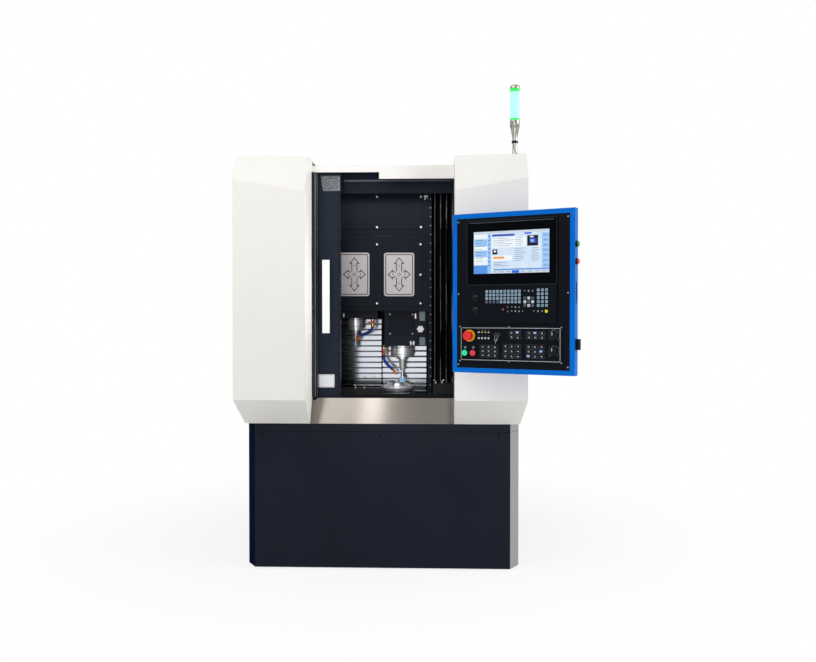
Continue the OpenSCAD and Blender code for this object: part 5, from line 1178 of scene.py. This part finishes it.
# tower light: flared foot, dark ring, taper with collar and domed cap as (radius, height above the foot); lit lens
towerSetup = {"foot": ((0, 0), (26, 0), (26, 7), (23.5, 10), (17, 18), (13, 32), (11.5, 49), (11.5, 78), (0, 78)),
              "ring": ((0, 76), (14.2, 76), (14.8, 78), (14.8, 85), (14.2, 87), (0, 87)),
              "taper": ((0, 86), (11.6, 86), (12.2, 97), (15.5, 119), (20, 143), (22.4, 153), (24, 155), (24, 179),
                        (23.2, 183), (0, 183)),
              "cap": ((0, 334), (24, 334), (24, 342), (22.5, 346), (17, 350.5), (9, 353.2), (0, 354)),
              "turns": 40, "bands": 17, "greenLow": 1, "greenHigh": 2, "lensInset": 0.6, "ribDeep": 0.7}
(left, front, low), (right, back, high) = edges("tower_light_lens")
x, y, radius = (left + right) / 2, (front + back) / 2, (right - left) / 2 - towerSetup["lensInset"]
piece = Piece("towerLightPost", "frame", "towerChrome", "rubber")
for part in ("foot", "ring", "taper", "cap"):
    place = standing(x, y, edges("tower_light_post")[0][2])
    piece.stamp(latheShape(towerSetup[part], towerSetup["turns"]), place, "rubber" if part == "ring" else "towerChrome")
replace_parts(piece.build("chrome", 40), "tower_light_post")
piece = Piece("towerLightLens", "frame", "lensCore", "lensGreen")
tall, waist = (high - low) / towerSetup["bands"], radius - towerSetup["ribDeep"]
rib = [(0, 0), (waist, 0), (radius, tall * 0.3), (radius, tall * 0.7), (waist, tall), (0, tall)]
for i in range(towerSetup["bands"]):
    green = i < towerSetup["greenLow"] or i >= towerSetup["bands"] - towerSetup["greenHigh"]
    place = standing(x, y, low + tall * i)
    piece.stamp(latheShape(rib, towerSetup["turns"]), place, "lensGreen" if green else "lensCore")
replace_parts(piece.build("glass", 50), "tower_light_lens")
print("bed fittings and tower light")

# control panel: screws and glass field; places are (u, w) on the panel, faces are distances out of its front plate
panelTrim = {"plateScrews": [(u, w) for u in (-245, 245) for w in (-303, -3, 303)], "plateScrew": (3.6, 2.2),
             "controlScrews": ((-235, -141), (-235, -287), (-9, -142), (-9, -286), (219, -143), (219, -287)),
             "controlScrew": (3.2, 2.0), "controlFace": 4.0, "controllerFace": 8.0,
             "glass": (-1, 168.5), "glassSize": (402, 271), "glassThick": 0.8, "glassGap": 1.5, "glassInward": 0.7,
             "screen": (-1, 169), "screenSize": (338, 176), "screenFace": 6.55, "rim": 1.4, "line": 1.2, "lineDrop": 9}
face, controlFace = panelTrim["controllerFace"], panelTrim["controlFace"]
piece = Piece("panelScrews", "panel", "zincAndJambHighlight")
for u, w in panelTrim["plateScrews"]:
    piece.stamp(screwShape(*panelTrim["plateScrew"]), onPanel(u, w))
for u, w in panelTrim["controlScrews"]:
    piece.stamp(screwShape(*panelTrim["controlScrew"]), onPanel(u, w, controlFace))
piece.build("steel")

(u, w), (wide, high) = panelTrim["glass"], panelTrim["glassSize"]
(screenU, screenW), (screenWide, screenHigh) = panelTrim["screen"], panelTrim["screenSize"]
thick, gap, inward = panelTrim["glassThick"], panelTrim["glassGap"], panelTrim["glassInward"]
sideBand = (wide - screenWide) / 2
piece = Piece("screenGlassField", "panel", "glassBlack")
for way in (1, -1):
    screenEdge = screenW + way * screenHigh / 2
    band = way * (w + way * high / 2 - screenEdge)
    piece.stamp(plateShape(wide - 2 * gap, band - gap, thick, radius=3, bevel=0.3),
                onPanel(u, screenEdge + way * (band / 2 - inward), face))
for way in (-1, 1):
    piece.stamp(plateShape(sideBand - gap, screenHigh + 1.0, thick, radius=0.6, bevel=0.2),
                onPanel(u + way * (screenWide / 2 + sideBand / 2 - inward), screenW, face))
piece.stamp(frameShape(wide, high, panelTrim["rim"], thick=1.0, radius=4, bevel=0.3), onPanel(u, w, face), "jointGrey")
piece.stamp(plateShape(wide - 24, panelTrim["line"], thick=1.0, radius=0.5, bevel=0.2, steps=2),
            onPanel(u, w + high / 2 - panelTrim["lineDrop"], face), "printGrey")
piece.build("black_plastic")

# screen page: plain colour fields as shares of the screen (left, top, right, bottom), the first one below the others
screenPage = [
    ("screenPale", 0, 0, 1, 1), ("screenGrey", 0, 0, 1, 0.06), ("screenWhite", 0.01, 0.07, 0.185, 0.165),
    ("screenSky", 0.01, 0.18, 0.185, 0.35), ("screenWhite", 0.01, 0.36, 0.185, 0.44),
    ("screenSky", 0.01, 0.45, 0.185, 0.60), ("screenWhite", 0.01, 0.61, 0.185, 0.79),
    ("screenBlue", 0.0, 0.80, 0.19, 1.0), ("screenSky", 0.193, 0.06, 0.232, 1.0),
    ("screenDeep", 0.25, 0.075, 0.55, 0.125), ("screenBright", 0.68, 0.06, 0.77, 0.098),
    ("screenWhite", 0.25, 0.15, 0.70, 0.39), ("screenWhite", 0.25, 0.58, 0.52, 0.70),
    ("screenBlack", 0.715, 0.13, 0.855, 0.375), ("screenDeep", 0.745, 0.20, 0.835, 0.31),
    ("screenBlack", 0.255, 0.43, 0.322, 0.55), ("screenOrange", 0.265, 0.605, 0.41, 0.652),
    ("screenBlue", 0.27, 0.893, 1.0, 0.925), ("screenSky", 0.905, 0.07, 1.0, 0.885),
    ("screenGrey", 0.24, 0.93, 1.0, 1.0), ("screenBright", 0.515, 0.935, 0.61, 0.995)]
# rows of short lines: pitch, then columns of (mark, left, first top, height, right ends)
screenRows = (
    (0.043, (("screenText", 0.262, 0.175, 0.008, (0.462, 0.562, 0.422, 0.522, 0.482)),
             ("screenText", 0.56, 0.175, 0.008, (0.65, 0.63, 0.66, 0.64, 0.65)))),
    (0.048, (("screenText", 0.55, 0.42, 0.009, (0.68, 0.66, 0.69, 0.65, 0.67, 0.68, 0.64)),
             ("screenText", 0.77, 0.42, 0.009, (0.86, 0.88, 0.85, 0.87, 0.86, 0.88, 0.87)))),
    (0.117, (("screenWhite", 0.907, 0.075, 0.007, (0.997,) * 7), ("screenText", 0.93, 0.125, 0.009, (0.975,) * 7))),
    (0.07, (("screenText", 0.025, 0.20, 0.009, (0.13, 0.11, 0.15, 0.12, 0.14, 0.11, 0.13, 0.12)),)),
    (0.10, (("screenDeep", 0.203, 0.10, 0.025, (0.222,) * 8),)))
for pitch, columns in screenRows:
    for row in range(len(columns[0][-1])):
        for mark, left, top, tall, rights in columns:
            screenPage.append((mark, left, top + row * pitch, rights[row], top + row * pitch + tall))
screenPage += [("screenText", 0.265 + key * 0.093, 0.958, 0.31 + key * 0.093, 0.968) for key in range(8)]
screenPage += [("screenWhite", 0.272, 0.455, 0.306, 0.50), ("screenSky", 0.76, 0.225, 0.80, 0.29),
               ("screenWhite", 0.75, 0.15, 0.80, 0.18), ("screenText", 0.27, 0.74, 0.43, 0.75),
               ("screenText", 0.27, 0.78, 0.38, 0.79), ("screenText", 0.27, 0.82, 0.47, 0.83)]
layerSetup = {"groundThick": 0.28, "thick": 0.1, "first": 0.27, "step": 0.0108, "most": 30, "corner": (1.2, 0.3)}
piece = Piece("screenPage", "panel", "screenPale")
for layer, (mark, left, top, right, bottom) in enumerate(screenPage):
    wide, high = (right - left) * screenWide, (bottom - top) * screenHigh
    u = screenU + ((left + right) / 2 - 0.5) * screenWide
    w = screenW + (0.5 - (top + bottom) / 2) * screenHigh
    lift = layerSetup["first"] + min(layer, layerSetup["most"]) * layerSetup["step"] if layer else 0.0
    radius = min(layerSetup["corner"][0], high * layerSetup["corner"][1])
    thick = layerSetup["thick"] if layer else layerSetup["groundThick"]
    piece.stamp(plateShape(wide, high, thick, radius, 0.04, 2), onPanel(u, w, panelTrim["screenFace"] + lift), mark)
piece.build("glass")

# controller keys: blocks as first place, steps and counts, single dark keys and a yellow one; each cap has a small mark
keyBlocks = {"main": ((-109, 6.1), (16.4, -14.7), (10, 4)), "side": ((121.2, 9.6), (17.7, -15.75), (3, 5)),
             "cross": ((62.5, -22.8), (17.15, -15.3), (3, 3)), "dimInMain": 4,
             "icons": ((62.5, 6.1, 17.15, 3), (-12, -60, 16.6, 4), (-12, -77, 16.6, 5), (102.6, -77, 17.7, 3)),
             "yellow": (155.9, -77), "size": (11.6, 11.4), "capHigh": 1.9, "ink": 0.15, "barShare": 0.42, "bar": 1.5}
keyRows = []
for block in ("main", "side", "cross"):
    (u, w), (stepU, stepW), (across, down) = keyBlocks[block]
    for r in range(down):
        for c in range(across):
            mark = "keyGrey"
            if block == "main" and r == down - 1 and c < keyBlocks["dimInMain"]:
                mark = "keyDim"
            if block == "cross":
                mark = "keyPale" if (r + c) % 2 else "keyDim"
            keyRows.append((u + stepU * c, w + stepW * r, mark))
keyRows += [(u + step * c, w, "keyBlack") for u, w, step, count in keyBlocks["icons"] for c in range(count)]
keyRows.append(keyBlocks["yellow"] + ("keyYellow",))
wide, high = keyBlocks["size"]
ink, bar, share = keyBlocks["ink"], keyBlocks["bar"], keyBlocks["barShare"]
keyMarks = ((plateShape(wide * share, bar, ink, 0.4, 0.05, 2), 0, 1.5),
            (strokeShape(circleLine(2.5, 10), 1.1, ink), 0, 0),
            (strokeShape([(-2.6, -2.2), (0, 2.4), (2.6, -2.2)], 1.2, ink, False), 0, 0),
            (plateShape(bar, high * share, ink, 0.4, 0.05, 2), -1.5, 0))
keyShape = plateShape(wide, high, keyBlocks["capHigh"], radius=2.0, bevel=0.7, steps=3)
piece = Piece("controllerKeys", "panel", "keyGrey")
for number, (u, w, mark) in enumerate(keyRows):
    piece.stamp(keyShape, onPanel(u, w, face), mark)
    shape, du, dw = keyMarks[number % len(keyMarks)]
    piece.stamp(shape, onPanel(u + du, w + dw, face + keyBlocks["capHigh"]),
                "printWhite" if mark == "keyBlack" else "keyBlack")
piece.build("black_plastic")

# controller ports: two round covers and a small red lamp
portSetup = {"covers": ((-160, -23), (-160, -74)),
             "cover": ((15, 0), (15, 2.6), (13.4, 3.8), (11, 3.8), (10.2, 2.8), (0, 2.6)),
             "arc": (12.2, 12, 35, 110), "arcLine": 1.1, "arcFace": 3.8, "lamp": (-35, -69),
             "lens": ((3, 0), (3, 0.9), (1.6, 1.8), (0, 2)), "lampRing": (4.4, 18), "ringLine": 0.7}
piece = Piece("controllerPorts", "panel", "keyBlack")
for u, w in portSetup["covers"]:
    piece.stamp(latheShape(portSetup["cover"], 32), onPanel(u, w, face))
    piece.stamp(strokeShape(circleLine(*portSetup["arc"]), portSetup["arcLine"], 0.2, False),
                onPanel(u, w, face + portSetup["arcFace"]), "printGrey")
lampPlace = onPanel(*portSetup["lamp"], face)
piece.stamp(latheShape(portSetup["lens"], 16), lampPlace, "litRed")
piece.stamp(strokeShape(circleLine(*portSetup["lampRing"]), portSetup["ringLine"], 0.3), lampPlace, "printGrey")
piece.build("black_plastic")

# machine control plate, printed: frame, dial ticks, button rings and ticks round the key switch
controlTrim = {"frame": (-8.5, -214.5), "frameSize": (445, 137), "frameLine": 1.6, "ink": 0.2, "tickLine": 0.9,
               "dials": {"feed": (187, -176), "speed": (186, -241)}, "dialTicks": 19, "dialSweep": (225, 270),
               "dialRadius": 21.0, "longTick": 4.2, "shortTick": 2.6, "longEvery": 3,
               "buttons": ((-211, -230), (-173, -230)), "buttonRing": (4.6, 20), "buttonLine": 1.0,
               "buttonBar": (1.3, 5), "keySwitch": (-62, -183),
               "keyTicks": (150, 120, 90, 60, 30), "keyRadius": 14, "keyTick": 3}
ink = controlTrim["ink"]


def tickShape(radius, long, degrees):
    ends = [onCircle(radius, degrees), onCircle(radius + long, degrees)]
    return strokeShape(ends, controlTrim["tickLine"], ink, False)


piece = Piece("controlPrint", "panel", "printWhite")
piece.stamp(frameShape(*controlTrim["frameSize"], controlTrim["frameLine"], ink, radius=5, bevel=0.05),
            onPanel(*controlTrim["frame"], controlFace))
for place in controlTrim["dials"].values():
    first, sweep = controlTrim["dialSweep"]
    for i in range(controlTrim["dialTicks"]):
        long = controlTrim["shortTick" if i % controlTrim["longEvery"] else "longTick"]
        turn = first - sweep * i / (controlTrim["dialTicks"] - 1)
        piece.stamp(tickShape(controlTrim["dialRadius"], long, turn), onPanel(*place, controlFace))
for place in controlTrim["buttons"]:
    ring = strokeShape(circleLine(*controlTrim["buttonRing"]), controlTrim["buttonLine"], ink)
    piece.stamp(ring, onPanel(*place, controlFace))
    piece.stamp(plateShape(*controlTrim["buttonBar"], ink, 0.4, 0.05, 2), onPanel(*place, controlFace))
for turn in controlTrim["keyTicks"]:
    tick = tickShape(controlTrim["keyRadius"], controlTrim["keyTick"], turn)
    piece.stamp(tick, onPanel(*controlTrim["keySwitch"], controlFace))
piece.build("black_plastic")

# machine control keys in fields (left, right, bottom, top, across, down), some with a pale sign, and small lamp keys
capSetup = {"fields": ((-142, -57, -271, -217, 3, 3), (-37, 46, -274, -212, 3, 3), (-10, 45, -194, -156, 2, 2),
                       (66, 152, -193, -158, 3, 2), (66, 149, -272, -213, 3, 3)),
            "pale": {(2, 1), (3, 1), (4, 5), (4, 6)}, "gap": (6, 4.6), "raise": 2.5, "high": 2.5, "rim": (2.6, 2.4),
            "ink": 0.15, "lampFirst": -146, "lampStep": 15, "lampCount": 4,
            "lampRows": ((-165, 5.4, (1, 2)), (-190, 7.4, ())),  # place, key height and which are lit
            "lampWide": 8, "lampHigh": 1.9, "lampBar": (3.4, 1.2), "lensUp": 9.4,
            "lens": ((1.7, 0), (1.7, 0.6), (0.9, 1.2), (0, 1.3))}
ink, top = capSetup["ink"], controlFace + capSetup["raise"]
capMarks = ((strokeShape([(-4.5, 0), (3.5, 0)], 1.2, ink, False),
             strokeShape([(1.5, 2.6), (4.4, 0), (1.5, -2.6)], 1.1, ink, False)),
            (strokeShape(circleLine(2.9, 14), 1.1, ink),),
            (strokeShape([(-3.4, -2.4), (3.4, -2.4), (0, 3)], 1.0, ink),))
piece = Piece("controlKeys", "panel", "keyBlack")
for number, (u0, u1, w0, w1, across, down) in enumerate(capSetup["fields"]):
    stepU, stepW = (u1 - u0) / across, (w1 - w0) / down
    wide, high = stepU - capSetup["gap"][0], stepW - capSetup["gap"][1]
    cap = plateShape(wide, high, capSetup["high"], radius=2.2, bevel=0.8, steps=3)
    rim = frameShape(wide + capSetup["rim"][0], high + capSetup["rim"][1], 0.7, 0.3, radius=2.8, bevel=0.08, steps=3)
    sign = plateShape(wide * 0.55, high * 0.5, ink, radius=1.0, bevel=0.05, steps=3)
    for i in range(across * down):
        u, w = u0 + stepU * (i % across + 0.5), w1 - stepW * (i // across + 0.5)
        front = top + capSetup["high"]
        piece.stamp(cap, onPanel(u, w, top), "keyBlack")
        piece.stamp(rim, onPanel(u, w, top), "printGrey")
        if (number, i) in capSetup["pale"]:
            piece.stamp(sign, onPanel(u - wide * 0.1, w + high * 0.1, front), "screenSky")
        for shape in capMarks[(number + i) % len(capMarks)]:
            piece.stamp(shape, onPanel(u, w, front), "printWhite")
for w, high, lit in capSetup["lampRows"]:
    for c in range(capSetup["lampCount"]):
        u = capSetup["lampFirst"] + capSetup["lampStep"] * c
        key = plateShape(capSetup["lampWide"], high, capSetup["lampHigh"], radius=1.6, bevel=0.6, steps=3)
        bar = plateShape(*capSetup["lampBar"], ink, 0.4, 0.05, 2)
        piece.stamp(key, onPanel(u, w, top), "lampLime" if c in lit else "keyPale")
        piece.stamp(bar, onPanel(u, w, top + capSetup["lampHigh"]), "keyBlack")
        lens = latheShape(capSetup["lens"], 12)
        piece.stamp(lens, onPanel(u, w + capSetup["lensUp"], top), "lampLime" if c in lit else "printGrey")
piece.build("black_plastic")

# key ring with the spare key that hangs from the key switch
keySetup = {"ring": (5.5, 22), "ringLine": 1.3, "ringPlace": (-1, -13, 17), "blade": (2.2, 1.6, 12),
            "bladePlace": (-3, -23, 17.6)}
u, w = controlTrim["keySwitch"]
piece = Piece("hangingKey", "key", "chrome")
du, dw, out = keySetup["ringPlace"]
ring = strokeShape(circleLine(*keySetup["ring"]), keySetup["ringLine"], keySetup["ringLine"])
piece.stamp(ring, onPanel(u + du, w + dw, out))
du, dw, out = keySetup["bladePlace"]
upright = Matrix.Rotation(-math.pi / 2, 4, "X")
piece.stamp(bevelBox(*keySetup["blade"], bevel=0.4), onPanel(u + du, w + dw, out) @ upright, "zincAndJambHighlight")
piece.build("chrome")

# white pointers on the two override dials
pointerSetup = {"face": 27.2, "size": (2.2, 14), "thick": 0.3, "up": 8}
for body, (u, w) in controlTrim["dials"].items():
    piece = Piece(body + "DialPointer", body, "printWhite")
    piece.stamp(plateShape(*pointerSetup["size"], pointerSetup["thick"], radius=0.8, bevel=0.1, steps=3),
                onPanel(u, w + pointerSetup["up"], pointerSetup["face"]))
    piece.build("white_plastic")
print("control panel trim")

# guessed rear and sides: screws, louvres, lifting eyes
casingTrim = {"rearScrewX": (-600, -200, 200, 600), "rearScrewZ": (770, 1140, 1510, 1880),
              "sideScrewY": (-420, -60, 300, 640), "sideScrewZ": (770, 1880), "screw": (6, 3.2)}
rear, side = edges("rear_panel")[1][1], edges("side_panels")[1][0]
screw = screwShape(*casingTrim["screw"])
piece = Piece("casingScrews", "frame", "zincAndJambHighlight")
for x in casingTrim["rearScrewX"]:
    for z in casingTrim["rearScrewZ"]:
        piece.stamp(screw, facing(x, rear, z, 180))
for y in casingTrim["sideScrewY"]:
    for z in casingTrim["sideScrewZ"]:
        piece.stamp(screw, facing(side, y, z, 90))
        piece.stamp(screw, facing(-side, y, z, -90))
piece.build("steel")

louvreSetup = {"places": (-330, 330), "height": 1640, "count": 9, "pitch": 30, "wide": 300, "margin": (60, 50),
               "thick": 2.0, "sunk": 0.5, "hood": ((0, 9), (6.5, 1), (6.5, -1), (0, -9)), "hoodDrop": 3, "hoodEnd": 9,
               "slot": (278, 3.4, 0.8), "slotOut": 1.8, "slotDrop": 13.4}
count, pitch, half = louvreSetup["count"], louvreSetup["pitch"], louvreSetup["wide"] / 2
hoodBase = rear + louvreSetup["thick"] - louvreSetup["sunk"]
piece = Piece("rearLouvres", "frame", "whitePaint", "grooveDarkAndSlotShade")
for x in louvreSetup["places"]:
    marginU, marginW = louvreSetup["margin"]
    piece.stamp(plateShape(2 * half + marginU, count * pitch + marginW, louvreSetup["thick"], radius=10, bevel=0.6),
                facing(x, rear, louvreSetup["height"], 180))
    for i in range(count):
        z = louvreSetup["height"] + (i - (count - 1) / 2) * pitch
        ends = (x - half, x - half + louvreSetup["hoodEnd"], x + half - louvreSetup["hoodEnd"], x + half)
        piece.stamp(stack([[(end, hoodBase + out, z + up - louvreSetup["hoodDrop"]) for out, up in louvreSetup["hood"]]
                           for end in ends]))
        # a dark plate below each hood: painted shade of the louvre opening
        piece.stamp(plateShape(*louvreSetup["slot"], radius=1.2, bevel=0.2, steps=3),
                    facing(x, rear + louvreSetup["slotOut"], z - louvreSetup["slotDrop"], 180), "grooveDarkAndSlotShade")
piece.build("white_paint")

eyeSetup = {"x": (-520, 520), "y": (-380, 600), "foot": ((18, 0), (18, 6), (14, 9), (10, 11), (0, 11)), "loop": 18,
            "loopUp": 27, "bar": 5, "turns": 24}
roof = edges("roof_panel")[1][2]
piece = Piece("liftingEyes", "frame", "zincAndJambHighlight")
for x in eyeSetup["x"]:
    for y in eyeSetup["y"]:
        piece.stamp(latheShape(eyeSetup["foot"], 28), standing(x, y, roof))
        loop = [onCircle(eyeSetup["loop"], 360 * i / eyeSetup["turns"] - 90) for i in range(eyeSetup["turns"] + 1)]
        piece.stamp(tubeShape([(x + u, y, roof + eyeSetup["loopUp"] + w) for u, w in loop], eyeSetup["bar"]))
piece.build("steel")
print("casing trim")
